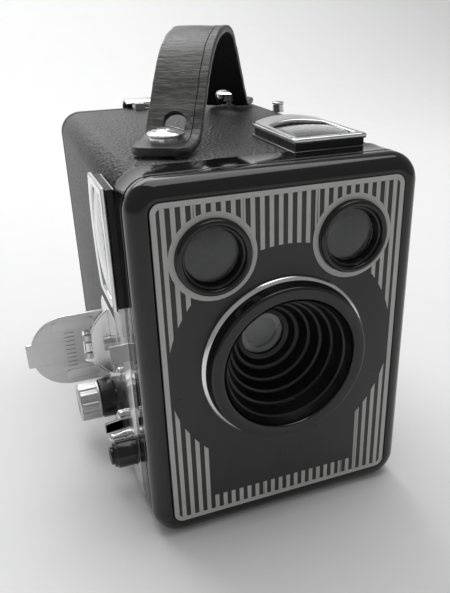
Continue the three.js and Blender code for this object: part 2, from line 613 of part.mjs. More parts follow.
function keyWing() {
  const { half, tip, z } = KEY;
  const outline = new THREE.Shape();
  outline.moveTo(-41.2, z - half);
  outline.lineTo(-41.2, z + half);
  outline.absarc(tip + half, z, half, Math.PI / 2, 1.5 * Math.PI);
  const body = cut(keySlab(outline, 12), keySlab(disc(14.2, -32.9, z), 20), keyBox(-48.2, -40, -2, 2),
    keyBox(-47.9, -40, 4.2, 6.2));
  const grip = keyBox(tip - 1.2, tip + 1, -4, 4);
  const flatGrip = common(grip, keySlab(roundedRect(60, 40, 1, -50, z)));
  const barrels = [keyBarrel(2, 4.2), keyBarrel(-4.2, -2)];
  return cut(join(body, flatGrip, ...barrels, keyBarrelWeb(2, 4.2), keyBarrelWeb(-4.2, -2)), keyBore());
}

const keyBarrelWeb = (z0, z1) =>
  box(-48, KEY.hinge, KEY.depth - KEY.thick / 2, KEY.depth + KEY.thick / 2, KEY.z + z0, KEY.z + z1);

const keyHingePin = () => turned('z', [[0, -4.6], [0.65, -4.6], [0.65, 4.4], [1, 4.6], [1, 5.2],
  [0.5, 5.6], [0, 5.6]], [KEY.hinge, behind(KEY.depth), KEY.z], 10);

const knobCollar = () => tube('x', KEY.shaft + 0.25, 6.8, -44.3, PLATE_FACE - 0.1, onTakeup, 24);

function spoolKnob() {
  const flutes = 12;
  const points = [];
  for (let i = 0; i < flutes; i++) {
    for (const [share, radius] of [[0.2, 6.15], [0.6, 6.15], [0.75, 6.7], [1, 6.7]]) {
      const angle = ((i + share) / flutes) * 2 * Math.PI;
      points.push([radius * Math.cos(angle), radius * Math.sin(angle)]);
    }
  }
  const barrel = slab('x', polygon(points), -51, -45.2).translate(0, behind(TAKEUP.depth), TAKEUP.z);
  const rims = [rod('x', 6.75, -45.4, -44.5, onTakeup, 24), rod('x', 6.5, -51.6, -50.8, onTakeup, 24)];
  return cut(join(barrel, ...rims), rod('x', KEY.shaft + 0.1, -49.7, -44, onTakeup, 20));
}

function spool() {
  const { length, flange, core, bore, wall } = SPOOL;
  const end = length / 2;
  return cut(turned('x', [[0, -end], [flange, -end], [flange, wall - end], [core, wall - end],
    [core, end - wall], [flange, end - wall], [flange, end], [0, end]], [0, 0, 0], 24),
  rod('x', bore, -end - 1, -end + 4, [0, 0, 0], 12), rod('x', bore, end - 4, end + 1, [0, 0, 0], 12));
}

const supplyPin = () => turned('x', [[0, -38.2], [1, -38.2], [1, -37.4], [2.6, -37.4], [2.6, -31.5],
  [2, -31], [0, -31]], onSide(SUPPLY), 12);

// One leaf spring on the right wall carries the right-hand pips of both spools.
function spoolSpring() {
  const leaf = box(36.4, 37.2, 54, 65, 7, 97);
  const pip = (at) => turned('x', [[0, 31], [2, 31], [2.6, 31.5], [2.6, 36.6], [0, 36.6]], onSide(at), 12);
  return join(leaf, pip(TAKEUP), pip(SUPPLY));
}

// ---------------------------------------------------------------- film chamber
function pyramid(from, to, grow) {
  const section = (depth) => {
    const share = (depth - CONE.apex) / (CONE.back + 2 - CONE.apex);
    const [w, h] = CONE.half.map((half) => half * share + grow);
    return { depth, points: [[-w, LENS_Z - h], [w, LENS_Z - h], [w, LENS_Z + h], [-w, LENS_Z + h]] };
  };
  return loft([section(from), section(to)]);
}

function filmCone() {
  const gate = slab('y', roundedRect(70, 88, 2, 0, LENS_Z), behind(CONE.back), behind(CONE.back + 1.4), 3);
  return cut(join(pyramid(CONE.front, CONE.back + 0.5, CONE.wall), gate),
    pyramid(CONE.front - 5, CONE.back + 4, 0));
}

function filmRoller() {
  const { radius, half, journal } = ROLLER;
  return turned('x', [[0, -half - journal], [1, -half - journal], [1, -half], [radius, -half],
    [radius, half], [1, half], [1, half + journal], [0, half + journal]], [0, 0, 0], 16);
}

// ---------------------------------------------------------------- back
function backTray(inset, from, to, rim) {
  const section = (depth, extra) => ({
    depth,
    points: rectPoints(CASE_WIDTH - 2 * (inset + extra), CASE_HEIGHT - 2 * (inset + extra),
      CASE_CORNER - inset - extra, CASE_HEIGHT / 2),
  });
  const sections = [section(from, 0)];
  for (let i = 0; i <= 3; i++) {
    const angle = (i / 3) * (Math.PI / 2);
    sections.push(section(to - rim * (1 - Math.sin(angle)), rim * (1 - Math.cos(angle))));
  }
  return loft(sections);
}

const windowHole = (radius) =>
  rod('y', radius, behind(SHELL_BACK), behind(CASE_DEPTH + 4), [0, 0, WINDOW.z], 16);
const coverNotch = () =>
  box(-CASE_WIDTH, CASE_WIDTH, BACK.front - 2, HINGE.depth + HINGE.knuckle + 0.5, -1, 2.1);

function backCover() {
  const pan = cut(backTray(SHELL_INSET, BACK.front, CASE_DEPTH - SHELL_INSET, 3.8),
    backTray(SHELL_INNER, BACK.front - 1, CASE_DEPTH - SHELL_INNER, 3), windowHole(WINDOW.radius));
  const left = knuckle(-29.2, -24, 1);
  const right = knuckle(24, 29.2, 1);
  const nib = box(-5, 5, CASE_DEPTH - 1.2, CASE_DEPTH + 0.6, 98.4, 99.6);
  return cut(join(cut(pan, coverNotch()), left.solid, right.solid, nib), left.bore, right.bore);
}

function backLeatherette() {
  return cut(backTray(0, BACK.front, CASE_DEPTH, BACK.rim),
    backTray(SKIN, BACK.front - 1, CASE_DEPTH - SKIN, BACK.rim - SKIN),
    windowHole(WINDOW.radius + 1.6), coverNotch(),
    box(-5.3, 5.3, CASE_DEPTH - 2, CASE_DEPTH + 1, 98.1, 99.9));
}

const redWindow = () =>
  rod('y', WINDOW.radius + 1.2, CASE_DEPTH - 0.65, CASE_DEPTH - 0.1, [0, FRONT, WINDOW.z], 16);

const hingePin = () => rod('x', HINGE.pin, -34, 34, [0, behind(HINGE.depth), HINGE.z], 10);

// ---------------------------------------------------------------- latch
const latchAt = [0, behind(LATCH.depth), LATCH.z];

function latchClip() {
  const { half, barrel, depth, z } = LATCH;
  const outer = [[1.6, 105.7], [4, 106.5], [7, 106.7], [9.4, 106.1], [10.8, 104.5], [11, 102],
    [10.7, 101], [9.4, 100.6]];
  const inner = [[9.4, 101.4], [10.1, 101.7], [10.2, 102.2], [10, 104.1], [8.9, 105.3], [7, 105.9],
    [4, 105.7], [1.6, 104.9]];
  const strip = slab('x', polygon([...outer, ...inner].map(([d, h]) => [behind(depth + d), h])), -half, half);
  const web = box(-barrel, barrel, depth + 0.4, depth + 2.4, z - 0.2, z + 0.6);
  return cut(join(strip, rod('x', 1.3, -barrel, barrel, latchAt, 16), web),
    rod('x', LATCH.pin + 0.1, -barrel - 1, barrel + 1, latchAt, 16));
}

function latchHinge() {
  const { barrel, depth, z, pin } = LATCH;
  const foot = box(-12, 12, depth - 4, depth - 1.7, CASE_HEIGHT + 0.05, CASE_HEIGHT + 0.75);
  const ears = [-1, 1].map((side) => {
    const [x0, x1] = side < 0 ? [-12, -barrel - 0.4] : [barrel + 0.4, 12];
    return box(x0, x1, depth - 4, depth + 1.1, CASE_HEIGHT + 0.05, z + 0.9);
  });
  return join(foot, ...ears, rod('x', pin, -11, 11, [0, behind(depth), z], 14));
}

// ---------------------------------------------------------------- strap and studs
const along = STUD_REAR.clone().sub(STUD_FRONT);
const STRAP_SPAN = along.length();
const strapAngle = Math.atan2(along.y, along.x);

// Height of the strap's upper face above the case, at a distance from the front stud.
function strapCurve() {
  const low = STRAP.thick + 0.5;
  const marks = [[-STRAP.tip, low], [-3, low], [1.5, low + 0.1], [5.5, low + 1.5], [11, 10.3],
    [20.3, 20.9], [28, 26.2], [36.7, 28.9], [44.6, STRAP.rise], [52.5, 27.9], [58.5, 22.8], [66, 14.5],
    [STRAP_SPAN - 6, low + 1.8], [STRAP_SPAN - 1.5, low + 0.1], [STRAP_SPAN + 3, low],
    [STRAP_SPAN + STRAP.tip, low]];
  return new THREE.SplineCurve(marks.map(([s, h]) => new THREE.Vector2(s, h)));
}

function strap() {
  const curve = strapCurve();
  const steps = 34;
  const [upper, lower] = [[], []];
  for (let i = 0; i <= steps; i++) {
    const point = curve.getPoint(i / steps);
    const ahead = curve.getTangent(i / steps);
    upper.push([point.x, point.y]);
    lower.unshift([point.x + ahead.y * STRAP.thick, point.y - ahead.x * STRAP.thick]);
  }
  const band = slab('y', polygon([...upper, ...lower]), -STRAP.width / 2, STRAP.width / 2);
  const slot = (s) => slab('z', roundedRect(STRAP.slotLength, STRAP.slot, STRAP.slot / 2, s, 0), -1, 9, 3);
  const pointed = polygon([[-STRAP.tip, -5], [-STRAP.tip + 3, -8.1], [STRAP_SPAN + STRAP.tip - 3, -8.1],
    [STRAP_SPAN + STRAP.tip, -5], [STRAP_SPAN + STRAP.tip, 5], [STRAP_SPAN + STRAP.tip - 3, 8.1],
    [-STRAP.tip + 3, 8.1], [-STRAP.tip, 5]]);
  return common(cut(band, slot(2.5), slot(STRAP_SPAN - 2.5)), slab('z', pointed, -2, 40));
}

function strapStud() {
  const { head, neck, rim, dome } = STUD;
  return turned('z', [[0, 101.4], [neck, 101.4], [neck, rim - 1], [head, rim - 0.6], [head, rim],
    [4, dome - 0.5], [2, dome], [0, dome + 0.1]], [0, 0, 0], 20);
}

const topStud = () => turned('z', [[0, 101.6], [1, 101.6], [1, 103.7], [2, 103.7], [1.8, 105.6],
  [2.1, 106], [1.6, 107], [0, 107.2]], [TOP_STUD.x, behind(TOP_STUD.depth), 0], 12);

// A threaded bush for a tripod; its nut face lies just inside the underside.
function tripodBush() {
  const { depth, radius, thread, flange, barrel } = BUSH;
  return turned('z', [[thread, 0.2], [radius, 0.2], [radius, 1.6], [flange, 1.6], [flange, 2.6],
    [barrel, 2.6], [barrel, 8], [0, 8], [0, 7], [thread, 7]], [0, behind(depth), 0], 20);
}

// ---------------------------------------------------------------- assembly
const camera = new THREE.Group();

function piece(name, geometry, material, place = {}) {
  geometry.computeVertexNormals();
  const mesh = new THREE.Mesh(geometry, material);
  mesh.name = name;
  mesh.position.set(...(place.at ?? [0, 0, 0]));
  mesh.rotation.set(...(place.turn ?? [0, 0, 0]));
  camera.add(mesh);
}

piece('body_shell', bodyShell(), blackPaint);
piece('leatherette_wrap', leatheretteWrap(), leatherette);
piece('side_plate', sidePlate(), polished);
piece('front_bezel', frontBezel(), enamel);
piece('front_plate', frontPlate(), printed);

piece('lens_ring', lensRing(), enamel);
piece('lens_hood', lensHood(), blackPaint);
piece('cover_glass', coverGlass(), clear);
piece('meniscus_lens', meniscusLens(), clear);
piece('lens_retainer', lensRetainer(), brass);

for (const [side, x] of [['left', -FINDER.x], ['right', FINDER.x]]) {
  const at = [x, FRONT, FINDER.z];
  piece(`finder_bezel_${side}`, finderBezel(), enamel, { at });
  piece(`finder_objective_${side}`, finderObjective(), clear, { at });
}
piece('finder_mirror_left', mirror(23, 20), silvered,
  { at: [-FINDER.x, behind(27), FINDER.z], turn: [Math.PI / 2, Math.PI / 4, 0] });
piece('finder_mirror_right', mirror(16.4, 26), silvered,
  { at: [FINDER.x, behind(29), FINDER.z], turn: [Math.PI / 4, 0, 0] });
piece('top_finder_box', topFinderBox(), blackPaint);
piece('top_finder_frame', topFinderFrame(), polished);
piece('top_finder_lens', topFinderLens(), clear);
piece('side_finder_box', sideFinderBox(), blackPaint);
piece('side_finder_frame', sideFinderFrame(), polished);
piece('side_finder_lens', sideFinderLens(), clear);

piece('shutter_board', shutterBoard(), steel);
piece('shutter_disc', shutterDisc(), steel);
piece('shutter_spring', shutterSpring(), steel);
piece('release_lever', releaseLever(), steel);
piece('release_button', releaseButton(), enamel);
piece('release_guide', releaseGuide(), blackPaint);
piece('time_lever', timeLever(), satin);
piece('filter_slide', filterSlide(), steel);
piece('yellow_filter', yellowFilter(), yellowGel);
piece('flash_pin', flashPin(), satin);
piece('flash_screw', flashScrew(), satin);
piece('side_screw', sideScrew(), satin);

piece('key_shaft', keyShaft(), satin);
piece('key_gear', keyGear(), brass);
piece('key_stub', keyStub(), satin);
piece('key_hinge_pin', keyHingePin(), polished);
piece('key_wing', keyWing(), satin);
piece('spool_gear', spoolGear(), brass);
piece('knob_collar', knobCollar(), blackPaint);
piece('spool_knob', spoolKnob(), satin);
piece('takeup_spool', spool(), blackPaint, { at: onTakeup });
piece('supply_spool', spool(), blackPaint, { at: onSide(SUPPLY) });
piece('supply_pin', supplyPin(), steel);
piece('spool_spring', spoolSpring(), steel);

piece('film_cone', filmCone(), blackPaint);
piece('film_roller_lower', filmRoller(), satin, { at: [0, behind(ROLLER.depth), ROLLER.low] });
piece('film_roller_upper', filmRoller(), satin, { at: [0, behind(ROLLER.depth), ROLLER.high] });

piece('back_cover', backCover(), blackPaint);
piece('back_leatherette', backLeatherette(), leatherette);
piece('red_window', redWindow(), redGel);
piece('back_hinge_pin', hingePin(), steel);
piece('latch_clip', latchClip(), polished);
piece('latch_hinge', latchHinge(), satin);

piece('strap', strap(), leather,
  { at: [STUD_FRONT.x, STUD_FRONT.y, CASE_HEIGHT + 0.4], turn: [0, 0, strapAngle] });
piece('strap_stud_front', strapStud(), polished, { at: [STUD_FRONT.x, STUD_FRONT.y, 0] });
piece('strap_stud_rear', strapStud(), polished, { at: [STUD_REAR.x, STUD_REAR.y, 0] });
piece('top_stud', topStud(), polished);
piece('tripod_bush', tripodBush(), brass);

export default camera;
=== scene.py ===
"""Looks of a leatherette-covered box camera with a striped enamel front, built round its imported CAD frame."""
import json
import math

import bmesh
import bpy
from mathutils import Matrix, Vector, noise


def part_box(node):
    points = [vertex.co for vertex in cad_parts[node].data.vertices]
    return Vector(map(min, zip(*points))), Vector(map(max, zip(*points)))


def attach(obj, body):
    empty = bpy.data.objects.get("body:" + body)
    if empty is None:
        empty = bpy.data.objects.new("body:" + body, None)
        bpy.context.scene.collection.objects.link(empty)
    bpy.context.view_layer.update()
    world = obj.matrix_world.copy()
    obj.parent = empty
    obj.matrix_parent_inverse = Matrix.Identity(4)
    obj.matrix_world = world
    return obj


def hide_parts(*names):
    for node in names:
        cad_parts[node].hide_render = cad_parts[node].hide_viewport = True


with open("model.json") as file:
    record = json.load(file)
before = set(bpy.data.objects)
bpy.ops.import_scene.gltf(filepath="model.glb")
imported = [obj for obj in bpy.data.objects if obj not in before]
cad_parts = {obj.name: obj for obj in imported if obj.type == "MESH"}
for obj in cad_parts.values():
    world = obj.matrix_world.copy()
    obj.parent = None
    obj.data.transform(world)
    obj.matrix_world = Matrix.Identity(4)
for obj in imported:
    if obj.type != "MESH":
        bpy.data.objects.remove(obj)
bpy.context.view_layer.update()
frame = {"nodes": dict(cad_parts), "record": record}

MM = 0.001
PI = math.pi
TAU = 2 * math.pi

# ------------------------------------------------------------------ places read from the frame
PLATE_LO, PLATE_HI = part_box("front_plate")
RING_LO, RING_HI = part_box("lens_ring")
WRAP_LO, WRAP_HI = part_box("leatherette_wrap")
BEZEL_LO, BEZEL_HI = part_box("front_bezel")
FRONT = PLATE_LO.y / MM
CASE_TOP = WRAP_HI.z / MM
CASE_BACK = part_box("back_leatherette")[1].y / MM - FRONT
CASE_HALF = WRAP_HI.x / MM


def middle(node):
    """Centre of a CAD node, in millimetres, with the depth behind the plate's face as its second number."""
    low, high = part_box(node)
    centre = (low + high) / (2 * MM)
    return Vector((centre.x, centre.y - FRONT, centre.z))


def at(x, depth, z):
    """A point in metres from millimetres across, behind the plate's face and up."""
    return Vector((x * MM, (depth + FRONT) * MM, z * MM))


PLATE_MID = middle("front_plate")
LENS = middle("lens_ring")
FINDER_Z = middle("finder_bezel_left").z
FINDER_X = middle("finder_bezel_right").x


# ------------------------------------------------------------------ camera, light and floor
CAMERA_AT = at(-65.553, -143.215, 140.527)
CAMERA_AIM = at(-7.074, 9.016, 64.331)
CAMERA_ROLL = math.radians(-1.2)
WORLD_STRENGTH = 0.3
SENSOR = 36
FOCAL_LENGTH = 39.99
SHIFT = (-0.0388, 0.018)


def make_camera():
    data = bpy.data.cameras.new("view_camera")
    data.sensor_width = SENSOR
    data.lens = FOCAL_LENGTH
    data.shift_x, data.shift_y = SHIFT
    data.clip_start = 0.005
    camera = bpy.data.objects.new("view_camera", data)
    bpy.context.scene.collection.objects.link(camera)
    look = (CAMERA_AIM - CAMERA_AT).to_track_quat("-Z", "Y").to_matrix().to_4x4()
    camera.matrix_world = Matrix.Translation(CAMERA_AT) @ look @ Matrix.Rotation(CAMERA_ROLL, 4, "Z")
    bpy.context.scene.camera = camera


def area_light(name, place, aim, size, power, shape=(1, 1)):
    data = bpy.data.lights.new(name, "AREA")
    data.shape = "RECTANGLE"
    data.size = size * shape[0]
    data.size_y = size * shape[1]
    data.energy = power
    light = bpy.data.objects.new(name, data)
    bpy.context.scene.collection.objects.link(light)
    place, aim = Vector(place), Vector(aim)
    turn = (aim - place).to_track_quat("-Z", "Y").to_matrix().to_4x4()
    light.matrix_world = Matrix.Translation(place) @ turn


def make_studio():
    world = bpy.data.worlds.new("studio")
    bpy.context.scene.world = world
    world.use_nodes = True
    world.node_tree.nodes["Background"].inputs["Color"].default_value = (1, 1, 1, 1)
    world.node_tree.nodes["Background"].inputs["Strength"].default_value = WORLD_STRENGTH
    area_light("rear_window", (-0.15, 0.85, 0.95), (0, 0.0, 0.02), 0.8, 7.5)
    area_light("overhead", (0.15, 0.1, 1.0), (0, 0, 0.02), 0.8, 5)
    bpy.context.scene.view_settings.view_transform = "Standard"


def make_floor():
    """A paper sweep: flat under the camera, curving up into a wall behind it."""
    bend, wall, reach, front = 0.7, 1.1, 2.2, -1.0
    line = [(front, 0), (wall - bend, 0)]
    line += [(wall - bend + bend * math.sin(a),
              bend - bend * math.cos(a)) for a in (i / 16 * PI / 2 for i in range(1, 17))]
    line.append((wall, 2.2))
    verts = [(side * reach, y, z) for y, z in line for side in (-1, 1)]
    faces = [(2 * i, 2 * i + 1, 2 * i + 3, 2 * i + 2) for i in range(len(line) - 1)]
    mesh = bpy.data.meshes.new("studio_sweep")
    mesh.from_pydata(verts, [], faces)
    mesh.shade_smooth()
    sweep = bpy.data.objects.new("studio_sweep", mesh)
    bpy.context.scene.collection.objects.link(sweep)
    paper = Finish("studio_paper", (0.86, 0.86, 0.86), 0.85)
    paper.colour(paper.noise(60, 4), (0.85, 0.85, 0.85), (0.88, 0.88, 0.88))
    mesh.materials.append(paper.material)


# ------------------------------------------------------------------ procedural finishes
class Finish:
    """A Principled material with small helpers for noise, colour variation and bump, all in object space."""

    def __init__(self, name, base, roughness, metallic=0.0):
        self.material = bpy.data.materials.new(name)
        self.material.use_nodes = True
        self.tree = self.material.node_tree
        self.bsdf = self.tree.nodes["Principled BSDF"]
        self.set("Base Color", (*base, 1))
        self.set("Roughness", roughness)
        self.set("Metallic", metallic)
        self.bumped = None
        self.place = self.tree.nodes.new("ShaderNodeTexCoord").outputs["Object"]

    def set(self, socket, value):
        self.bsdf.inputs[socket].default_value = value
        return self

    def link(self, out, to):
        self.tree.links.new(out, to)

    def node(self, kind, **values):
        made = self.tree.nodes.new(kind)
        for key, value in values.items():
            setattr(made, key, value)
        return made

    def stretched(self, scale, turn=0.0):
        made = self.node("ShaderNodeMapping", vector_type="TEXTURE")
        made.inputs["Rotation"].default_value = (0, 0, turn)
        made.inputs["Scale"].default_value = tuple(1 / share for share in scale)
        self.link(self.place, made.inputs["Vector"])
        return made.outputs["Vector"]

    def noise(self, scale, detail=4.0, roughness=0.55, stretch=None, turn=0.0):
        made = self.node("ShaderNodeTexNoise")
        made.inputs["Scale"].default_value = scale
        made.inputs["Detail"].default_value = detail
        made.inputs["Roughness"].default_value = roughness
        self.link(self.stretched(stretch, turn) if stretch else self.place, made.inputs["Vector"])
        return made.outputs["Fac"]

    def cells(self, scale, feature="F1", stretch=None):
        made = self.node("ShaderNodeTexVoronoi", feature=feature)
        made.inputs["Scale"].default_value = scale
        self.link(self.stretched(stretch) if stretch else self.place, made.inputs["Vector"])
        return made.outputs["Distance"]

    def ramp(self, value, low, high, out_low=0.0, out_high=1.0):
        made = self.node("ShaderNodeMapRange")
        made.clamp = True
        for key, number in (("From Min", low), ("From Max", high), ("To Min", out_low), ("To Max", out_high)):
            made.inputs[key].default_value = number
        self.link(value, made.inputs["Value"])
        return made.outputs["Result"]

    def colour(self, value, low, high):
        made = self.node("ShaderNodeMix", data_type="RGBA")
        self.link(value, made.inputs[0])
        made.inputs[6].default_value = (*low, 1)
        made.inputs[7].default_value = (*high, 1)
        self.link(made.outputs[2], self.bsdf.inputs["Base Color"])
        return made

    def over(self, mask, tone):
        """Lays another colour over what the base colour is now, where mask is 1."""
        made = self.node("ShaderNodeMix", data_type="RGBA")
        socket = self.bsdf.inputs["Base Color"]
        if socket.is_linked:
            self.link(socket.links[0].from_socket, made.inputs[6])
        else:
            made.inputs[6].default_value = tuple(socket.default_value)
        made.inputs[7].default_value = (*tone, 1)
        self.link(mask, made.inputs[0])
        self.link(made.outputs[2], socket)

    def rough(self, value, low, high):
        self.link(self.ramp(value, 0.3, 0.7, low, high), self.bsdf.inputs["Roughness"])

    def bump(self, value, strength, distance):
        made = self.node("ShaderNodeBump")
        made.inputs["Strength"].default_value = strength
        made.inputs["Distance"].default_value = distance
        self.link(value, made.inputs["Height"])
        if self.bumped:
            self.link(self.bumped, made.inputs["Normal"])
        self.bumped = made.outputs["Normal"]
        self.link(self.bumped, self.bsdf.inputs["Normal"])


def make_leatherette(name, tone):
    skin = Finish(name, tone, 0.5)
    pebble = skin.cells(950)
    fine = skin.noise(2600, 3)
    broad = skin.noise(45, 5)
    light = tuple(1.9 * channel for channel in tone)
    skin.colour(skin.ramp(broad, 0.3, 0.75), tone, light)
    # Painted shade: the crevices between the pebbles are darkened nearly to black, so the pebble tops read as
    # lit.
    skin.over(skin.ramp(pebble, 0.4, 0.7, 0, 0.6), (0.004, 0.004, 0.004))
    skin.rough(fine, 0.38, 0.6)
    skin.bump(pebble, 0.9, 0.0004)
    skin.bump(fine, 0.25, 0.0001)
    return skin.material


def make_enamel(name="black_enamel", base=0.006):
    enamel = Finish(name, (base, base, base * 1.05), 0.09)
    dust = enamel.cells(420)
    enamel.over(enamel.ramp(dust, 0.03, 0.018, 0, 0.3), (0.3, 0.3, 0.3))
    enamel.rough(enamel.noise(90, 5), 0.05, 0.15)
    enamel.bump(enamel.noise(55, 2), 0.05, 0.0002)
    return enamel.material


def make_metal(name, tone, rough_low, rough_high, scale=120, grain=None, dirt=0.25):
    metal = Finish(name, (tone, tone, tone), rough_low, 1.0)
    smudge = metal.noise(scale, 6, 0.6)
    metal.colour(metal.ramp(smudge, 0.35, 0.7), (tone * (1 - dirt),) * 3, (tone,) * 3)
    metal.rough(smudge, rough_low, rough_high)
    if grain:
        metal.bump(metal.noise(900, 3, 0.6, grain), 0.08, 0.00005)
    metal.bump(metal.noise(70, 3), 0.06, 0.0001)
    return metal.material


def make_black(name, tone=0.012, rough=0.55):
    paint = Finish(name, (tone, tone, tone), rough)
    paint.rough(paint.noise(300, 4), rough - 0.08, rough + 0.1)
    paint.bump(paint.noise(1400, 2), 0.12, 0.00005)
    return paint.material


def make_print(name, tone, wear):
    ink = Finish(name, tone, 0.32)
    patch = ink.noise(140, 6, 0.65)
    ink.colour(ink.ramp(patch, 0.35, 0.7), tuple(c * (1 - wear) for c in tone), tone)
    ink.rough(patch, 0.26, 0.42)
    ink.over(ink.ramp(ink.noise(420, 3), 0.72, 0.78, 0, 0.5), tuple(c * 0.5 for c in tone))
    return ink.material


def make_glass(name, tint=(0.97, 0.98, 1.0), rough=0.02):
    glass = Finish(name, tint, rough)
    glass.set("Transmission Weight", 1.0)
    glass.set("IOR", 1.5)
    film = glass.noise(160, 5)
    glass.rough(film, rough, rough + 0.06)
    return glass.material


def make_strap_leather():
    """Old glossy hide: fine transverse wrinkles, a few open cracks and scuffed patches."""
    across = math.atan2(STUD_REAR.y - STUD_FRONT.y, STUD_REAR.x - STUD_FRONT.x) + PI / 2
    hide = Finish("strap_leather", (0.03, 0.029, 0.028), 0.36)
    broad = hide.noise(110, 6, 0.6)
    wrinkle = hide.noise(700, 5, 0.65, (0.16, 1, 1), across)
    crack = hide.noise(330, 3, 0.6, (0.2, 1, 1), across)
    hide.colour(hide.ramp(broad, 0.35, 0.72), (0.018, 0.018, 0.018), (0.075, 0.073, 0.07))
    hide.over(hide.ramp(wrinkle, 0.5, 0.72, 0, 0.5), (0.13, 0.127, 0.124))
    hide.over(hide.ramp(crack, 0.335, 0.29, 0, 0.9), (0.006, 0.006, 0.006))
    hide.rough(broad, 0.28, 0.48)
    hide.bump(wrinkle, 0.7, 0.0004)
    hide.bump(hide.ramp(crack, 0.29, 0.36), 0.8, 0.0005)
    return hide.material


# ------------------------------------------------------------------ mesh helpers
def adopt(name, mesh, body, materials, replaces=(), sharp=40):
    """Turns a mesh into a piece that rides on a body."""
    piece = bpy.data.objects.new(name, mesh)
    bpy.context.scene.collection.objects.link(piece)
    for material in materials:
        mesh.materials.append(material)
    mesh.shade_smooth()
    mesh.set_sharp_from_angle(angle=math.radians(sharp))
    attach(piece, body)
    if replaces:
        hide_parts(*replaces)
    return piece


def mesh_from(name, verts, faces, tags=None):
    """A cleaned mesh from points in metres; tags give each face its material."""
    mesh = bpy.data.meshes.new(name)
    mesh.from_pydata([tuple(v) for v in verts], [], faces)
    if tags:
        mesh.polygons.foreach_set("material_index", tags)
    work = bmesh.new()
    work.from_mesh(mesh)
    bmesh.ops.remove_doubles(work, verts=work.verts, dist=1e-7)
    bmesh.ops.recalc_face_normals(work, faces=work.faces)
    work.to_mesh(mesh)
    work.free()
    return mesh


# Turning frames: the first axis is the turning axis, the other two span the circle.
TURN = {"x": (Vector((1, 0, 0)), Vector((0, 1, 0)), Vector((0, 0, 1))),
        "y": (Vector((0, 1, 0)), Vector((0, 0, 1)), Vector((1, 0, 0))),
        "z": (Vector((0, 0, 1)), Vector((1, 0, 0)), Vector((0, 1, 0)))}


def lathe(name, profile, centre, axis, steps=96, wobble=None, tags=None):
    """A closed turned mesh; profile holds (radius, distance along the axis) in mm."""
    main, side, up = TURN[axis]
    loop = profile[0][0] > 0 or profile[-1][0] > 0
    verts, faces, marks = [], [], []
    for step in range(steps):
        angle = TAU * step / steps
        for radius, along in profile:
            r = radius + (wobble(angle, radius, along) if wobble else 0)
            verts.append(centre + MM * (main * along + (side * math.cos(angle) + up * math.sin(angle)) * r))
    count = len(profile)
    spans = count if loop else count - 1
    for step in range(steps):
        ahead = (step + 1) % steps
        for i in range(spans):
            j = (i + 1) % count
            quad = [step * count + i, step * count + j, ahead * count + j, ahead * count + i]
            if profile[i][0] == 0:
                quad.pop(3)
            elif profile[j][0] == 0:
                quad.pop(2)
            faces.append(quad)
            marks.append(tags[i] if tags else 0)
    return mesh_from(name, verts, faces, marks)


def arc(cx, cy, radius, start, end, steps):
    """Points on an arc, angles in degrees."""
    return [(cx + radius * math.cos(math.radians(start + (end - start) * i / steps)),
             cy + radius * math.sin(math.radians(start + (end - start) * i / steps)))
            for i in range(steps + 1)]


def rounded_rect(width, height, radius, cx=0.0, cy=0.0, steps=12):
    w, h = width / 2 - radius, height / 2 - radius
    points = []
    for sx, sy, start in ((1, -1, -90), (1, 1, 0), (-1, 1, 90), (-1, -1, 180)):
        points += arc(cx + sx * w, cy + sy * h, radius, start, start + 90, steps)
    return points


def hoop(name, profile, width, height, radius, cz, tags=None, steps=12):
    """A closed band round a rounded rectangle in the X-Z plane; profile is a closed list of (inset, depth)."""
    verts, faces, marks = [], [], []
    count = None
    for inset, depth in profile:
        ring = rounded_rect(width - 2 * inset, height - 2 * inset, max(radius - inset, 0.3), 0, cz, steps)
        count = len(ring)
        verts += [at(x, depth, z) for x, z in ring]
    rings = len(profile)
    for i in range(rings):
        for k in range(count):
            j, n = (i + 1) % rings, (k + 1) % count
            faces.append([i * count + k, i * count + n, j * count + n, j * count + k])
            marks.append(tags[i] if tags else 0)
    return mesh_from(name, verts, faces, marks)


# How a flat outline drawn in (u, v) and thickened along w stands in the camera.
STANDS = {"x": Matrix(((0, 0, 1, 0), (1, 0, 0, 0), (0, 1, 0, 0), (0, 0, 0, 1))),
          "y": Matrix(((1, 0, 0, 0), (0, 0, -1, 0), (0, 1, 0, 0), (0, 0, 0, 1))),
          "z": Matrix.Identity(4)}


def sheet_metal(name, outlines, thick, edge, stand, place, seg=3):
    """A flat plate with rounded edges and holes; outlines in mm, place is its middle in metres."""
    curve = bpy.data.curves.new(name, "CURVE")
    curve.dimensions = "2D"
    curve.fill_mode = "BOTH"
    curve.extrude = max(thick / 2 - edge, 0) * MM
    curve.bevel_depth = edge * MM
    curve.bevel_resolution = seg
    curve.offset = -edge * MM
    for outline in outlines:
        spline = curve.splines.new("POLY")
        spline.points.add(len(outline) - 1)
        for point, (u, v) in zip(spline.points, outline):
            point.co = (u * MM, v * MM, 0, 1)
        spline.use_cyclic_u = True
    holder = bpy.data.objects.new(name + "_outline", curve)
    bpy.context.scene.collection.objects.link(holder)
    bpy.context.view_layer.update()
    mesh = bpy.data.meshes.new_from_object(holder.evaluated_get(bpy.context.evaluated_depsgraph_get()))
    bpy.data.objects.remove(holder)
    bpy.data.curves.remove(curve)
    mesh.transform(Matrix.Translation(place) @ STANDS[stand])
    work = bmesh.new()
    work.from_mesh(mesh)
    bmesh.ops.remove_doubles(work, verts=work.verts, dist=2e-7)
    bmesh.ops.recalc_face_normals(work, faces=work.faces)
    work.to_mesh(mesh)
    work.free()
    mesh.name = name
    return mesh


def join_meshes(name, meshes):
    """One mesh holding several, each keeping its material numbers."""
    work = bmesh.new()
    for mesh in meshes:
        work.from_mesh(mesh)
    joined = bpy.data.meshes.new(name)
    work.to_mesh(joined)
    work.free()
    return joined


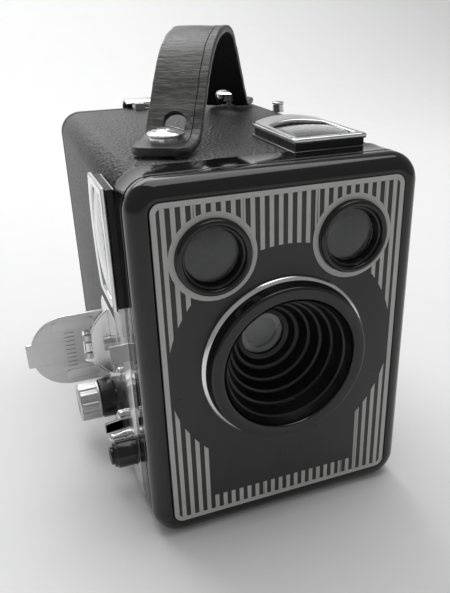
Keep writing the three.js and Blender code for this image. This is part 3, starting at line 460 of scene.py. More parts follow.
def block(x0, x1, d0, d1, z0, z1):
    """A closed box, for cutting."""
    verts = [at(x, d, z) for x in (x0, x1) for d in (d0, d1) for z in (z0, z1)]
    faces = [(0, 1, 3, 2), (4, 6, 7, 5), (0, 4, 5, 1), (2, 3, 7, 6), (0, 2, 6, 4), (1, 5, 7, 3)]
    return mesh_from("block", verts, faces)


def tag_all(mesh, index):
    for polygon in mesh.polygons:
        polygon.material_index = index
    return mesh


def cut_away(piece, cutter_mesh):
    """Cuts a closed mesh out of a piece, for good."""
    cutter = bpy.data.objects.new("cutter", cutter_mesh)
    bpy.context.scene.collection.objects.link(cutter)
    modifier = piece.modifiers.new("cut", "BOOLEAN")
    modifier.object = cutter
    modifier.solver = "EXACT"
    bpy.context.view_layer.update()
    made = bpy.data.meshes.new_from_object(piece.evaluated_get(bpy.context.evaluated_depsgraph_get()))
    piece.modifiers.remove(modifier)
    old = piece.data
    piece.data = made
    bpy.data.meshes.remove(old)
    bpy.data.objects.remove(cutter)


# ------------------------------------------------------------------ case
def make_covering():
    """Leatherette round the case: outer skin, soft rolled edges and the sheet's inner face."""
    front, back = WRAP_LO.y / MM - FRONT, WRAP_HI.y / MM - FRONT
    profile = [(0.25, front), (0, front + 0.4), (0, back - 0.4), (0.25, back), (0.6, back), (0.6, front)]
    mesh = hoop("covering", profile, 2 * CASE_HALF, CASE_TOP, 7.5, CASE_TOP / 2, steps=16)
    piece = adopt("case_covering", mesh, "camera", [leatherette], ["leatherette_wrap"])
    cut_away(piece, block(9.6, 28.9, 17.0, 36.0, CASE_TOP - 3, CASE_TOP + 3))
    cut_away(piece, block(-CASE_HALF - 3, -CASE_HALF + 3, 17.0, 30.5, 71.6, 96.1))
    cut_away(piece, block(-CASE_HALF - 3, CASE_HALF + 3, back - 3, back + 1, -1, 4.2))
    bush = middle("tripod_bush")
    cut_away(piece, lathe("bush_hole", [(0, -3), (4.8, -3), (4.8, 3), (0, 3)], at(bush.x, bush.y, 0), "z",
                          64))


def make_bezel():
    """Pressed and enamelled front: recessed lip, rolled rim, groove with a bead, and a flat band."""
    width, height = (BEZEL_HI.x - BEZEL_LO.x) / MM, (BEZEL_HI.z - BEZEL_LO.z) / MM
    depth = (BEZEL_HI.y - BEZEL_LO.y) / MM
    rim = 4.4
    profile = [(5.3, 1.3), (5.1, 0.5), (4.9, 0.1), (4.6, 0.0)]
    profile += [(rim - rim * math.sin(a), rim - rim * math.cos(a))
                for a in (i / 12 * PI / 2 for i in range(1, 13))]
    profile += [(0, 5.9), (0.12, 6.1), (0.42, 6.25), (0.42, 6.55), (0.12, 6.7), (0, 6.85), (0, 7.0),
                (0.06, 7.3)]
    profile += [(0.06, depth - 1.2), (0.0, depth - 0.7), (0.0, depth - 0.25), (0.2, depth), (0.5, depth)]
    profile += [(0.5, 5.0), (3.6, 4.9), (3.6, 2.6), (5.3, 2.4)]
    mesh = hoop("bezel", profile, width, height, 8, PLATE_MID.z, steps=18)
    adopt("front_surround", mesh, "camera", [enamel], ["front_bezel"], sharp=60)


# The printed front: white on black, laid on as thin raised enamel.
STRIPE_PITCH = 2.5
STRIPE_HALF = 0.6
STRIPE_COUNT = 13
BORDER = 1.5
DISC_RADIUS = 33
PANEL_HALF = 22.6
PANEL_TOP = -40.9
WHITE_RING = (9.95, 11.5)


def stripe_spans(x):
    """Where the stripe at x runs, in heights from the plate's middle: a list of (low, high)."""
    half_height = (PLATE_HI.z - PLATE_LO.z) / (2 * MM) - BORDER + 0.05
    lens_z = LENS.z - PLATE_MID.z
    low, high = -half_height, half_height
    spans = [(low, high)]
    if abs(x) < DISC_RADIUS:
        chord = math.sqrt(DISC_RADIUS ** 2 - x * x)
        upper, lower = lens_z + chord, lens_z - chord
        if abs(x) < PANEL_HALF:
            lower = min(lower, PANEL_TOP)
        spans = [(low, lower), (upper, high)]
    eye = FINDER_Z - PLATE_MID.z
    offset = abs(abs(x) - FINDER_X)
    if offset < WHITE_RING[0] + 0.7:
        chord = math.sqrt((WHITE_RING[0] + 0.7) ** 2 - offset ** 2)
        cut = []
        for a, b in spans:
            cut += [(a, min(b, eye - chord)), (max(a, eye + chord), b)]
        spans = cut
    return [(a, b) for a, b in spans if b - a > 0.15]


def slab_faces(verts, faces, corners, low, high):
    """Adds a thin closed slab over a plane quad; corners are (x, z), low and high are depths."""
    base = len(verts)
    verts += [at(x, high, z) for x, z in corners] + [at(x, low, z) for x, z in corners]
    faces += [[base, base + 1, base + 2, base + 3], [base + 7, base + 6, base + 5, base + 4]]
    faces += [[base + i, base + 4 + i, base + 4 + (i + 1) % 4, base + (i + 1) % 4] for i in range(4)]


def make_front_plate():
    width, height = (PLATE_HI.x - PLATE_LO.x) / MM, (PLATE_HI.z - PLATE_LO.z) / MM
    cz = PLATE_MID.z
    holes = [arc(x, FINDER_Z, 8.4, 0, 357, 60) for x in (-FINDER_X, FINDER_X)] + [arc(0, LENS.z, 18.2, 0,
                                                                                      357, 80)]
    base = sheet_metal("plate", [rounded_rect(width, height, 2.8, 0, cz)] + [h[:-1] for h in holes],
                       1.1, 0.12, "y", at(0, 0.62, 0))
    adopt("front_plate_black", base, "camera", [plate_black], ["front_plate"])
    lay = 0.055
    top, under = -0.005, lay + 0.02
    verts, faces = [], []
    for index in range(-STRIPE_COUNT, STRIPE_COUNT):
        x = (index + 0.5) * STRIPE_PITCH
        columns = 4
        for column in range(columns):
            x0 = x - STRIPE_HALF + 2 * STRIPE_HALF * column / columns
            x1 = x0 + 2 * STRIPE_HALF / columns
            left, right = stripe_spans(x0), stripe_spans(x1)
            if len(left) != len(right):
                left = right = min(left, right, key=len)
            for (a, b), (c, d) in zip(left, right):
                slab_faces(verts, faces, [(x0, cz + a), (x1, cz + c), (x1, cz + d), (x0, cz + b)], top, under)
    stripes = mesh_from("stripes", verts, faces)
    border_profile = [(0.15, under), (0.15, top), (BORDER, top), (BORDER, under)]
    border = hoop("border", border_profile, width, height, 2.8, cz)
    inner, outer = WHITE_RING
    ring_profile = [(inner, under), (inner, top - 0.012), (outer, top - 0.012), (outer, under)]
    rings = [lathe("eye_ring", ring_profile, at(x, 0, FINDER_Z), "y", 96) for x in (-FINDER_X, FINDER_X)]
    adopt("front_plate_print", join_meshes("print", [stripes, border] + rings), "camera",
          [plate_white])


# ------------------------------------------------------------------ lens
def make_lens():
    foot, inner = (RING_HI.x - RING_LO.x) / (2 * MM), 18.75
    proud = (RING_HI.y - RING_LO.y) / MM
    centre = at(0, 0, LENS.z)
    edge = [(foot, -0.06), (foot, -0.5), (foot - 0.12, -0.75), (foot - 0.75, -1.35), (foot - 0.95, -1.42)]
    wall = [(foot - 1.0, -1.6), (foot - 1.25, -2.6), (foot - 1.6, -proud + 0.9)]
    wall += [(foot - 2.5 + 0.9 * math.cos(a), -proud + 0.9 - 0.9 * math.sin(a))
             for a in (i / 6 * PI / 2 for i in range(7))]
    face = [(inner + 2.0, -proud + 0.03), (inner + 1.0, -proud + 0.12), (inner + 0.4, -proud + 0.35)]
    face += [(inner + 0.1, -proud + 0.8), (inner, -proud + 1.4), (inner, -0.06)]
    tags = [1] * (len(edge) - 1) + [0] * (1 + len(wall) + len(face))
    ring = lathe("lens_ring", edge + wall + face, centre, "y", 180, tags=tags)
    adopt("lens_surround", ring, "camera", [ring_black, bright_metal], ["lens_ring"], sharp=35)

    inside = [(18.55, -4.1), (18.4, -3.2), (17.7, -1.6), (17.2, -1.2), (16.4, 2.6), (16.2, 2.9), (15.5, 3.0),
              (14.5, 6.4),
              (14.3, 6.6), (13.7, 6.7), (12.6, 9.9), (12.4, 10.1), (11.7, 10.2), (10.3, 13.0), (10.0,
                                                                                                13.2), (9.2,
                                                                                                        13.3),
              (8.0, 15.2), (6.6, 15.5)]
    outside = [(9.9, 15.55), (9.9, 14.8), (17.35, 3.0), (17.35, 0.6), (18.35, -2.6), (18.65, -3.9)]
    hood = lathe("hood", inside + outside, centre, "y", 128)
    adopt("lens_cone", hood, "camera", [cone_black], ["lens_hood"], sharp=25)

    glass = lathe("glass", [(0, 15.75), (3, 15.8), (6, 15.9), (7.6, 16.05), (8, 16.2), (8, 16.7), (0, 16.7)],
                  centre, "y", 96)
    adopt("lens_front_glass", glass, "camera", [clear_glass], ["cover_glass"])
    seat = [(4.6, 17.3), (4.9, 17.0), (6.2, 16.9), (8, 16.95), (8, 18.2), (4.6, 18.2)]
    adopt("lens_bevel", lathe("bevel", seat, centre, "y", 96), "camera", [lens_grey])
    bulge = [(0, 17.5), (2, 17.6), (4.5, 18.0), (7.9, 18.5), (8, 19.4), (4, 19.0), (0, 18.8)]
    adopt("lens_meniscus", lathe("meniscus", bulge, centre, "y", 96), "camera", [lens_dark],
          ["meniscus_lens"])


# ------------------------------------------------------------------ finders
def make_finder_eyes():
    for side, x in (("left", -FINDER_X), ("right", FINDER_X)):
        centre = at(x, 0, FINDER_Z)
        rim = [(9.85, -0.06), (9.85, -0.8)]
        rim += [(9.0 + 0.85 * math.cos(a), -0.9 - 0.85 * math.sin(a)) for a in (i / 8 * PI for i in range(9))]
        dish = [(8.1, -0.6), (7.95, -0.45), (7.6, -0.4), (7.45, 0.1), (7.2, 0.5), (7.2, 3.4), (8.2, 3.4),
                (8.2, -0.06)]
        ring = lathe("eye_" + side, rim + dish, centre, "y", 112)
        adopt("finder_eye_" + side, ring, "camera", [enamel], ["finder_bezel_" + side], sharp=50)
        face = [(0, 0.85)] + [(7.05 * i / 10, 0.85 + 0.6 * (i / 10) ** 2) for i in range(1, 11)]
        lens = lathe("eye_glass_" + side, face + [(7.05, 2.3), (0, 2.5)], centre, "y", 96)
        adopt("finder_glass_" + side, lens, "camera", [eye_glass], ["finder_objective_" + side])


def arched(half, front, corner, back, steps=24):
    """Outline with a straight front edge and an arched rear edge, as (across, depth)."""
    sagitta = back - corner
    radius = (half * half + sagitta * sagitta) / (2 * sagitta)
    sweep = math.degrees(math.asin(half / radius))
    return [(-half, front), (half, front)] + arc(0, back - radius, radius, 90 - sweep, 90 + sweep, steps)


def frame_numbers(node, along):
    low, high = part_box(node)
    half = (high[along] - low[along]) / (2 * MM)
    return half, low.y / MM - FRONT, high.y / MM - FRONT


def dome_mesh(mesh, centre, spread, lift, axis, outward):
    """Raises the middle of a flat piece into a shallow dome along axis."""
    for vertex in mesh.vertices:
        offset = vertex.co - centre
        offset[axis] = 0
        share = max(0.0, 1 - (offset.length / spread) ** 2)
        vertex.co[axis] += outward * lift * MM * share


def painted_shade_faces(mesh, direction, index):
    """Gives the faces that look along a direction another material, as painted shade on the side turned away
    from the light.
    """
    for polygon in mesh.polygons:
        if polygon.normal.dot(direction) > 0.7:
            polygon.material_index = index
    return mesh


def make_top_finder():
    half, front, back = frame_numbers("top_finder_frame", 0)
    x = middle("top_finder_frame").x
    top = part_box("top_finder_frame")[1].z / MM
    outline = [(x + u, v + FRONT) for u, v in arched(half, front, back - 3.2, back)]
    hole = [(x + u, v + FRONT) for u, v in arched(half - 2.1, front + 2.4, back - 11.2, back - 8.2)]
    frame_mesh = subdivided(sheet_metal("top_frame", [outline, hole], 1.5, 0.6, "z",
                                        Vector((0, 0, (top - 0.7) * MM)), 5), 4)
    for vertex in frame_mesh.vertices:
        u, v = vertex.co.x / MM - x, vertex.co.y / MM - FRONT
        rise = max(0.0, (v - front - 8) / (back - front - 8))
        vertex.co.z += 1.1 * MM * rise * max(0.0, 1 - (u / half) ** 2)
    adopt("top_finder_surround", frame_mesh, "camera", [chrome], ["top_finder_frame"], sharp=60)
    skirt = sheet_metal("top_skirt", [[(x + u, v + FRONT) for u,
                                       v in arched(half - 0.5, front + 0.5, back - 3.6, back - 0.5)],
                                      hole], 1.9, 0.15, "z", Vector((0, 0, (CASE_TOP + 1.45) * MM)), 2)
    adopt("top_finder_skirt", skirt, "camera", [leatherette])
    seam = sheet_metal("top_seam", [[(x + u, v + FRONT) for u,
                                     v in arched(half + 0.15, front + 0.3, back - 3.2, back + 0.1)],
                                    hole], 0.4, 0.15, "z", Vector((0, 0, (CASE_TOP + 0.25) * MM)), 2)
    adopt("top_finder_base_line", seam, "camera", [steel])
    lens = sheet_metal("top_lens", [[(x + u, v + FRONT) for u,
                                     v in arched(half - 2.3, front + 2.6, back - 11.4, back - 8.4)]],
                       1.4, 0.2, "z", Vector((0, 0, (top - 1.9) * MM)), 2)
    lens = subdivided(lens, 6)
    centre = at(x, (front + back) / 2 - 3.5, 0)
    dome_mesh(lens, centre, 14 * MM, 1.6, 2, 1)
    adopt("top_finder_glass", lens, "camera", [finder_glass], ["top_finder_lens"])


def subdivided(mesh, cuts):
    """Cuts a flat-faced mesh into small triangles so that it can bend."""
    work = bmesh.new()
    work.from_mesh(mesh)
    bmesh.ops.triangulate(work, faces=work.faces)
    for _ in range(cuts):
        long = [e for e in work.edges if e.calc_length() > 1.6 * MM]
        if not long:
            break
        bmesh.ops.subdivide_edges(work, edges=long, cuts=1, use_grid_fill=False)
        bmesh.ops.triangulate(work, faces=work.faces)
    work.to_mesh(mesh)
    work.free()
    return mesh


def make_side_finder():
    low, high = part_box("side_finder_frame")
    half, front, back = frame_numbers("side_finder_frame", 2)
    z = middle("side_finder_frame").z
    face = low.x / MM
    outline = [(v + FRONT, z - u) for u, v in arched(half, front, back - 3.4, back)][::-1]
    hole = [(v + FRONT, z - u) for u, v in arched(half - 2.3, front + 2.5, back - 8.1, back - 4.1)][::-1]
    frame_mesh = sheet_metal("side_frame", [outline, hole], 1.3, 0.5, "x", Vector(((face + 0.7) * MM, 0, 0)),
                             5)
    adopt("side_finder_surround", frame_mesh, "camera", [chrome], ["side_finder_frame"], sharp=60)
    skirt = sheet_metal("side_skirt", [[(v + FRONT, z - u) for u,
                                        v in arched(half - 0.6, front + 0.6, back - 4, back - 0.6)][::-1],
                                       hole], 2.2, 0.15, "x", Vector(((face + 2.5) * MM, 0, 0)), 2)
    # Painted shade: the skirt's forward-facing wall gets black enamel and the rest brushed metal, because that
    # wall is turned away from the rear light.
    painted_shade_faces(skirt, Vector((0, -1, 0)), 1)
    adopt("side_finder_skirt", skirt, "camera", [brushed, enamel])
    lens = sheet_metal("side_lens", [[(v + FRONT, z - u) for u,
                                      v in arched(half - 2.5, front + 2.7, back - 8.3, back - 4.3)][::-1]],
                       1.6, 0.3, "x", Vector(((face + 1.7) * MM, 0, 0)), 2)
    lens = subdivided(lens, 5)
    dome_mesh(lens, at(0, (front + back) / 2, z), 17 * MM, 1.0, 0, -1)
    adopt("side_finder_glass", lens, "camera", [finder_glass], ["side_finder_lens"])


# ------------------------------------------------------------------ controls on the left wall
def softened(points, radius, steps=5):
    """Rounds the corners of a polygon."""
    rounded = []
    for i, corner in enumerate(points):
        here = Vector(corner)
        before, after = Vector(points[i - 1]), Vector(points[(i + 1) % len(points)])
        reach = min(radius, 0.45 * (before - here).length, 0.45 * (after - here).length)
        start, end = here + (before - here).normalized() * reach, here + (after - here).normalized() * reach
        for k in range(steps + 1):
            t = k / steps
            rounded.append(tuple((1 - t) ** 2 * start + 2 * t * (1 - t) * here + t * t * end))
    return rounded


def make_side_plate():
    low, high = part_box("side_plate")
    y0, y1, z0, z1 = low.y / MM, high.y / MM, low.z / MM, high.z / MM
    step_y, step_z = y0 + 19, z1 - 12.8
    outline = softened([(y0, z0), (y1, z0), (y1, step_z - 4), (y1 - 4, step_z), (step_y, step_z),
                        (step_y, z1), (y0, z1)], 0.8)
    holes = []
    for node, radius in (("release_button", 4.6), ("key_shaft", 2.9)):
        spot = middle(node)
        holes.append([(u, v) for u, v in arc(spot.y + FRONT, spot.z, radius, 0, 352, 44)])
    mesh = sheet_metal("side_plate", [outline] + holes, 0.9, 0.14, "x", Vector(((low.x + high.x) / 2, 0, 0)),
                       3)
    adopt("side_plate_polished", mesh, "camera", [polished], ["side_plate"])


KEY_DEPTH = middle("key_wing").y
KEY_Z = middle("key_wing").z
KEY_HINGE = -46.5
KEY_THICK = 1.2
WING_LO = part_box("key_wing")[0]
WING_HALF = 12.0


def make_key():
    tip = WING_LO.x / MM + 1.2
    round_x = tip + WING_HALF
    tab = 4.0
    turn = math.degrees(math.asin(tab / WING_HALF))
    outline = arc(round_x, KEY_Z, WING_HALF, 90, 180 - turn, 20)
    outline += [(tip - 0.9, KEY_Z + tab), (tip - 1.2, KEY_Z + tab - 0.4), (tip - 1.2, KEY_Z - tab + 0.4),
                (tip - 0.9, KEY_Z - tab)]
    outline += arc(round_x, KEY_Z, WING_HALF, 180 + turn, 270, 20)
    bite = math.degrees(math.asin(WING_HALF / 14.2))
    hollow = arc(-32.9, KEY_Z, 14.2, 180 + bite, 180 - bite, 40)
    notched = []
    for u, v in hollow:
        notched.append((min(u, KEY_HINGE - 1.6) if abs(v - KEY_Z) < 5.9 else u, v))
    outline += notched
    place = at(0, KEY_DEPTH, 0)
    wing = sheet_metal("wing", [outline], KEY_THICK, 0.22, "y", place, 3)
    parts = [wing]
    for z0, z1 in ((2, 4.3), (-4.3, -2)):
        barrel = [(0, z0), (1.1, z0), (1.3, z0 + 0.2), (1.3, z1 - 0.2), (1.1, z1), (0, z1)]
        parts.append(lathe("barrel", barrel, at(KEY_HINGE, KEY_DEPTH, KEY_Z), "z", 40))
        web = softened([(KEY_HINGE - 2.2, KEY_Z + z0), (KEY_HINGE, KEY_Z + z0), (KEY_HINGE, KEY_Z + z1),
                        (KEY_HINGE - 2.2, KEY_Z + z1)], 0.2)
        parts.append(sheet_metal("web", [web], 1.0, 0.1, "y", place, 2))
    for low_z, high_z, far in ((7.0, 10.6, -57.0), (-10.4, -6.8, -54.5)):
        rib = softened([(far, KEY_Z + low_z), (-43.8, KEY_Z + low_z), (-43.8, KEY_Z + high_z),
                        (far, KEY_Z + high_z)], 1.7, 8)
        parts.append(sheet_metal("rib", [rib], KEY_THICK + 0.55, 0.26, "y", place, 4))
    for mesh in parts:
        tag_all(mesh, 0)
    for k in range(9):
        z = KEY_Z + 6.2 - 1.45 * k
        line = [(-53.6, z - 0.14), (-50.6, z - 0.14), (-50.6, z + 0.14), (-53.6, z + 0.14)]
        parts.append(tag_all(sheet_metal("line", [line], KEY_THICK + 0.05, 0.01, "y", place, 1), 1))
    adopt("key_wing_plate", join_meshes("wing", parts), "key_wing", [satin, satin_dark],
          ["key_wing"])

    half_angle = math.degrees(math.asin(11.8 / 13.7))
    segment = arc(-32.3, KEY_Z, 13.7, 180 - half_angle, 180 + half_angle, 48)
    stub = [sheet_metal("stub", [segment], KEY_THICK, 0.3, "y", place, 4)]
    barrel = [(0, -1.7), (1.1, -1.7), (1.3, -1.5), (1.3, 1.5), (1.1, 1.7), (0, 1.7)]
    stub.append(lathe("barrel", barrel, at(KEY_HINGE, KEY_DEPTH, KEY_Z), "z", 40))
    adopt("key_stub_plate", join_meshes("stub", stub), "key", [bright_metal], ["key_stub"])
    pin = [(0, -4.7), (0.65, -4.6), (0.65, 4.3),
           (0.95, 4.5)] + [(1.0 * math.cos(a), 5.1 + 0.75 * math.sin(a)) for a in
                                                             (-0.6 + i / 8 * (PI / 2 + 0.6) for i in range(8))] + [(0, 5.85)]
    adopt("key_pin", lathe("pin", pin, at(KEY_HINGE, KEY_DEPTH, KEY_Z), "z", 40), "key", [chrome],
          ["key_hinge_pin"])


def make_knob():
    spot = middle("spool_knob")
    centre = at(0, spot.y, spot.z)

    def flutes(angle, radius, along):
        if not -51.1 < along < -45.3 or radius < 5:
            return 0.0
        wave = math.cos(12 * angle)
        return -0.36 * min(1.0, max(0.0, 0.5 + 1.4 * wave))

    profile = [(0, -51.3), (4.6, -51.3), (4.9, -51.6), (6.1, -51.6), (6.5, -51.3), (6.55, -51.15),
               (6.6, -51.0)]
    profile += [(6.6, -50.8), (6.6, -45.6), (6.6, -45.4), (6.7, -45.25), (6.75, -45.0), (6.7, -44.65),
                (6.5, -44.5), (0, -44.5)]
    adopt("knob", lathe("knob", profile, centre, "x", 288, flutes), "takeup", [satin],
          ["spool_knob"], sharp=30)
    collar = [(2.9, -44.2), (6.4, -44.3), (6.75, -44.0), (6.8, -43.6), (6.8, -39.9), (6.6, -39.55),
              (2.9, -39.55)]
    adopt("knob_black_collar", lathe("collar", collar, centre, "x", 96), "camera",
          [collar_black], ["knob_collar"])


def make_small_controls():
    spot = middle("release_button")
    profile = [(0, -46.6), (1.8, -46.7), (2.5, -47.0), (2.75, -46.8), (2.85, -46.2), (3.5, -46.05),
               (3.65, -45.8),
               (3.75, -45.2), (4.1, -45.0), (4.25, -44.7), (4.25, -38.0), (0, -38.0)]
    adopt("shutter_button", lathe("button", profile, at(0, spot.y, spot.z), "x", 96), "button",
          [ring_black],
          ["release_button"], sharp=30)
    spot = middle("flash_pin")
    profile = [(0, -45)] + [(1.5 * math.sin(a),
                             -43.5 - 1.5 * math.cos(a)) for a in (i / 10 * PI / 2 for i in range(1, 11))]
    profile += [(1.5, -40.4), (1.9, -40.3), (1.9, -39.5), (0, -39.5)]
    adopt("flash_contact_pin", lathe("pin", profile, at(0, spot.y, spot.z), "x", 48), "camera",
          [bright_metal],
          ["flash_pin"])
    for node, head in (("flash_screw", 1.7), ("side_screw", 1.6)):
        low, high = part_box(node)
        spot, tip = middle(node), low.x / MM
        profile = [(0, tip + 0.5), (0.5, tip + 0.5), (0.62, tip + 0.1), (0.9, tip), (1.25, tip + 0.08),
                   (head - 0.1, tip + 0.5),
                   (head, tip + 0.8), (head, -39.5), (0, -39.5)]
        adopt(node + "_head", lathe("screw", profile, at(0, spot.y, spot.z), "x", 48), "camera",
              [bright_metal], [node])
    low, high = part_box("time_lever")
    spot = middle("time_lever")
    z0, z1 = low.z / MM, high.z / MM
    blade = softened([(-45, z0), (-39.2, z0 + 0.5), (-39.2, z1), (-45, z1 - 1)], 0.7)
    adopt("time_lever_blade", sheet_metal("blade", [blade], 1.0, 0.18, "y",
                                          at(0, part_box("time_lever")[1].y / MM - FRONT - 0.5, 0), 3),
          "time_lever", [satin])


def make_top_stud():
    spot = middle("top_stud")
    profile = [(0, 103.5), (2.1, 103.5), (2.1, 104.0)]
    for k in range(4):
        z = 104.1 + 0.5 * k
        profile += [(1.65, z), (1.65, z + 0.15), (1.95, z + 0.22), (1.95, z + 0.42)]
    profile += [(1.8, 106.2), (2.1, 106.4), (2.1, 106.8), (1.5, 107.1), (0, 107.2)]
    mesh = lathe("top_stud", profile, Vector((spot.x * MM, (spot.y + FRONT) * MM, 0)), "z", 48)
    adopt("top_stud_ribbed", mesh, "camera", [chrome], ["top_stud"], sharp=30)


# ------------------------------------------------------------------ back
def make_back():
    front, back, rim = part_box("back_leatherette")[0].y / MM - FRONT, CASE_BACK, 4.5
    height = CASE_TOP
    profile = [(0, front)] + [(rim - rim * math.cos(a), back - rim + rim * math.sin(a)) for a in
                              (i / 12 * PI / 2 for i in range(13))]
    profile += [(12, back), (20, back), (29, back), (29, back - 0.6), (rim, back - 0.6), (0.6, back - rim),
                (0.6, front)]
    panels = [hoop("back_rim", profile, 2 * CASE_HALF, height, 7.5, height / 2, steps=14)]
    window = middle("red_window")
    core = rounded_rect(2 * CASE_HALF - 58, height - 58, 0.3, 0, height / 2, 2)
    hole = arc(0, window.z, 6.6, 0, 356, 88)
    panels.append(sheet_metal("back_core", [core, hole], 0.6, 0.0, "y", at(0, back - 0.3, 0), 0))
    adopt("back_covering", join_meshes("back", panels), "back", [leatherette],
          ["back_leatherette"], sharp=55)
    lens = [(0, -0.2), (3, -0.25), (5.6, -0.35), (6.15, -0.5), (6.15, -0.65), (0, -0.65)]
    adopt("back_red_window", lathe("window", lens, at(0, back, window.z), "y", 96), "back",
          [red_glass], ["red_window"])


def make_latch():
    """A sprung clip bent over the rear edge, rolled round its hinge wire."""
    depth = CASE_BACK - 9 + FRONT
    height = CASE_TOP + 1.5
    outer = [(1.6, 105.7), (4, 106.6), (7, 106.8), (9.4, 106.2), (10.8, 104.5), (11, 102), (10.7, 101),
             (9.4, 100.6)]
    inner = [(9.4, 101.4), (10.1, 101.7), (10.2, 102.2), (10, 104.1), (8.9, 105.3), (7, 105.9), (4, 105.7),
             (1.6, 104.9)]
    outline = softened([(depth + d, z) for d, z in outer + inner], 0.8, 4)
    strip = sheet_metal("clip", [outline], 28, 0.18, "x", Vector((0, 0, 0)), 3)
    barrel = [(0, -8), (1.1, -8), (1.3, -7.8), (1.3, 7.8), (1.1, 8), (0, 8)]
    roll = lathe("barrel", barrel, Vector((0, depth * MM, height * MM)), "x", 40)
    tongue = [(depth, height - 0.2), (depth + 2.4, height - 0.2), (depth + 2.4, height + 0.6),
              (depth, height + 0.6)]
    neck = sheet_metal("neck", [tongue], 16, 0.1, "x", Vector((0, 0, 0)), 2)
    adopt("latch_spring_clip", join_meshes("latch", [strip, roll, neck]), "latch", [chrome],
          ["latch_clip"], sharp=45)


# ------------------------------------------------------------------ strap
STRAP_TIP = 8.5
STUD_FRONT = middle("strap_stud_front")
STUD_REAR = middle("strap_stud_rear")
STRAP_SPAN = math.hypot(STUD_REAR.x - STUD_FRONT.x, STUD_REAR.y - STUD_FRONT.y)
STRAP_BASE = CASE_TOP + 0.4
STRAP_MARKS = [(-STRAP_TIP, 2.5), (-3, 2.5), (1.5, 2.6), (5.5, 4.0), (11, 10.3), (20.3, 20.9), (28, 26.2),
               (36.7, 28.9),
               (44.6, 29.5), (52.5, 27.9), (58.5, 22.8), (66, 14.5), (STRAP_SPAN - 6,
                                                                      4.3), (STRAP_SPAN - 1.5, 2.6),
               (STRAP_SPAN + 3, 2.5), (STRAP_SPAN + STRAP_TIP, 2.5)]


def spline_point(marks, t):
    """Catmull-Rom through marks, t from 0 to 1."""
    place = t * (len(marks) - 1)
    i = min(int(place), len(marks) - 2)
    w = place - i
    p0, p1, p2, p3 = (Vector(marks[max(0, min(len(marks) - 1, k))]) for k in (i - 1, i, i + 1, i + 2))
    return 0.5 * (2 * p1 + (p2 - p0) * w + (2 * p0 - 5 * p1 + 4 * p2 - p3) * w * w
                  + (3 * p1 - p0 - 3 * p2 + p3) * w ** 3)


def strap_frame(s, across, height):
    """A point of the strap in metres: distance along, across and above its base, in mm."""
    along = Vector((STUD_REAR.x - STUD_FRONT.x, STUD_REAR.y - STUD_FRONT.y, 0)) / STRAP_SPAN
    side = Vector((-along.y, along.x, 0))
    start = at(STUD_FRONT.x, STUD_FRONT.y, STRAP_BASE)
    return start + MM * (along * s + side * across + Vector((0, 0, height)))


def strap_path(samples=600):
    """The strap's upper face as (length so far, distance, height, direction along, direction up), in mm."""
    path, length = [], 0.0
    before = spline_point(STRAP_MARKS, 0)
    for i in range(samples + 1):
        here = spline_point(STRAP_MARKS, i / samples)
        length += (here - before).length
        near = spline_point(STRAP_MARKS, max(0, i / samples - 0.002))
        ahead = (spline_point(STRAP_MARKS, min(1, i / samples + 0.002)) - near).normalized()
        path.append((length, here.x, here.y, ahead.x, ahead.y))
        before = here
    return path


def bend_strap(path, u, across, depth):
    """Where a point of the flat strap lies once bent; u runs along it, depth is below its face."""
    low, high = 0, len(path) - 1
    while high - low > 1:
        centre = (low + high) // 2
        if path[centre][0] <= u:
            low = centre
        else:
            high = centre
    a, b = path[low], path[high]
    w = min(1.0, max(0.0, (u - a[0]) / max(b[0] - a[0], 1e-9)))
    s, h, ax, ay = (a[k] + (b[k] - a[k]) * w for k in range(1, 5))
    return strap_frame(s + ay * depth, across, h - ax * depth)


def strap_section():
    """Outline across the strap as (across, depth below the face), with rounded edges and a pressed line."""
    top = [7.7 - 0.55 * i for i in range(24)]
    top += [-5.1, -5.25, -5.4, -5.55, -5.7, -6.2, -6.8, -7.3, -7.7]
    section = [(across, 0.22 if abs(across + 5.4) < 0.1 else 0.0) for across in top]
    section += [(-7.93, 0.25), (-8.0, 1.0), (-7.93, 1.75)]
    section += [(-7.6 + 0.95 * i, 2.0) for i in range(17)]
    return section + [(7.93, 1.75), (8.0, 1.0), (7.93, 0.25)]


def make_strap():
    """Cut flat with its two slots, then bent to its arch and roughened."""
    path = strap_path()
    total = path[-1][0]
    section = strap_section()
    count = len(section)
    underside = range(count - 3 - 17, count - 4)
    steps = 260
    verts, faces, marks = [], [], []
    for step in range(steps + 1):
        u = total * step / steps
        end = min(u, total - u)
        taper = 1 - 0.32 * max(0.0, 1 - end / 3.2) ** 2
        verts += [Vector((u, across * taper, -depth)) * MM for across, depth in section]
    for step in range(steps):
        a, b = step * count, (step + 1) * count
        for i in range(count):
            j = (i + 1) % count
            faces.append([a + i, a + j, b + j, b + i])
            marks.append(1 if i in underside else 0)
    faces += [list(range(count)), [steps * count + i for i in reversed(range(count))]]
    marks += [0, 0]
    piece = adopt("carrying_strap", mesh_from("strap", verts, faces, marks), "camera",
                  [strap_leather, strap_under], ["strap"])
    slots = (STRAP_TIP + 4.8, total - STRAP_TIP - 4.8)
    for centre in slots:
        outline = rounded_rect(15.4, 6.4, 3.19, centre, 0, 10)
        cut_away(piece, sheet_metal("slot", [outline], 8, 0.0, "z", Vector((0, 0, 0)), 0))
    for vertex in piece.data.vertices:
        u, across, depth = vertex.co.x / MM, vertex.co.y / MM, -vertex.co.z / MM
        spot = Vector((u, across, 0))
        near_slot = min(max(abs(u - centre) - 4.5, 0) + max(abs(across) - 3.2, 0) for centre in slots)
        torn = max(0.0, 1 - near_slot / 3.4) if depth < 0.5 else 0.0
        depth += 0.16 * noise.noise(spot / 7) + 0.07 * noise.noise(spot / 1.7)
        depth += torn * (0.32 * noise.noise(spot * 0.95) + 0.14 * noise.noise(spot * 2.1))
        vertex.co = bend_strap(path, u, across + 0.12 * noise.noise(spot / 4), depth)
    mesh = piece.data
    mesh.shade_smooth()
    mesh.set_sharp_from_angle(angle=math.radians(50))


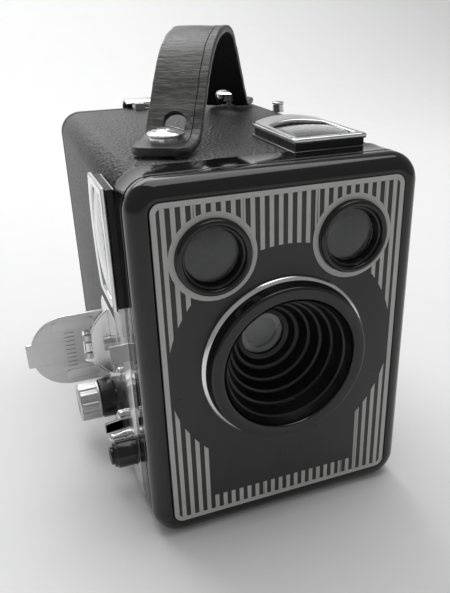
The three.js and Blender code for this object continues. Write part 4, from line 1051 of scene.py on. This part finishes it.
def make_studs():
    for side in ("front", "rear"):
        low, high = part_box("strap_stud_" + side)
        centre = middle("strap_stud_" + side)
        top = high.z / MM
        head = (high.x - low.x) / (2 * MM)
        neck = [(0, 101.5), (2.3, 101.5), (2.3, 106.2), (4.5, 106.2), (4.7, 106.4), (4.7, top - 2.5),
                (4.4, top - 2.3)]
        rim = [(head - 0.5, top - 2.2), (head, top - 1.9), (head, top - 1.55), (head - 0.4, top - 1.25)]
        rings = [(3.9, top - 0.95), (3.75, top - 0.75), (3.2, top - 0.6), (2.3, top - 0.42),
                 (2.15, top - 0.25),
                 (1.2, top - 0.08), (0, top)]
        mesh = lathe("stud_" + side, neck + rim + rings, Vector((centre.x * MM, (centre.y + FRONT) * MM, 0)),
                     "z", 72)
        adopt("strap_stud_head_" + side, mesh, "camera", [chrome], ["strap_stud_" + side], sharp=35)


# ------------------------------------------------------------------ plain finishes for the rest
def dress(node, *materials):
    """Gives a carried-over CAD node its finish."""
    mesh = frame["nodes"][node].data
    mesh.materials.clear()
    for material in materials:
        mesh.materials.append(material)
    if not frame["nodes"][node].hide_render:
        mesh.polygons.foreach_set("use_smooth", [False] * len(mesh.polygons))


make_camera()
make_studio()
make_floor()

leatherette = make_leatherette("leatherette", (0.022, 0.022, 0.023))
enamel = make_enamel()
ring_black = make_enamel("ring_enamel", 0.008)
plate_black = make_print("plate_black", (0.022, 0.022, 0.023), 0.25)
plate_white = make_print("plate_white", (0.5, 0.5, 0.49), 0.12)
cone_black = make_black("cone_black", 0.006, 0.35)
chrome = make_metal("chrome", 0.82, 0.07, 0.2)
bright_metal = make_metal("bright_metal", 0.8, 0.1, 0.25, dirt=0.15)
satin = make_metal("satin_metal", 0.62, 0.3, 0.42, grain=(0.2, 1, 1), dirt=0.12)
brushed = make_metal("brushed_chrome", 0.7, 0.2, 0.34, grain=(1, 0.1, 1), dirt=0.1)
satin_dark = make_metal("satin_dark", 0.3, 0.4, 0.5)
polished = make_metal("polished_plate", 0.72, 0.12, 0.24, dirt=0.08)
steel = make_metal("steel", 0.45, 0.3, 0.45)
brass = make_metal("brass", 0.5, 0.25, 0.4)
black_paint = make_black("black_paint")
clear_glass = make_glass("clear_glass")
eye_glass = make_glass("eye_glass", (0.9, 0.91, 0.93), 0.05)
finder_glass = make_glass("finder_glass", (0.95, 0.96, 0.97), 0.03)
lens_grey = make_black("lens_grey", 0.13, 0.3)
lens_dark = make_black("lens_dark", 0.04, 0.15)
collar_black = make_black("collar_black", 0.008, 0.3)
red_glass = make_glass("red_glass", (0.5, 0.02, 0.015), 0.05)
yellow_glass = make_glass("yellow_glass", (0.9, 0.65, 0.05), 0.05)
strap_leather = make_strap_leather()
strap_under = make_black("strap_under", 0.008, 0.8)

make_covering()
make_bezel()
make_front_plate()
make_lens()
make_finder_eyes()
make_top_finder()
make_side_finder()
make_side_plate()
make_key()
make_knob()
make_small_controls()
make_top_stud()
make_back()
make_latch()
make_strap()
make_studs()

SLOTS = {
    "black_paint": black_paint, "leatherette": leatherette, "polished_plate": polished, "enamel": enamel,
    "printed_plate": plate_black, "glass": clear_glass, "brass": brass, "mirror": chrome, "chrome": chrome,
    "steel": steel, "satin_metal": satin, "yellow_gel": yellow_glass, "red_gel": red_glass,
    "leather": strap_leather,
}
for subpart in frame["record"]["subparts"]:
    dress(subpart["node"], SLOTS[subpart["material_slot"]])
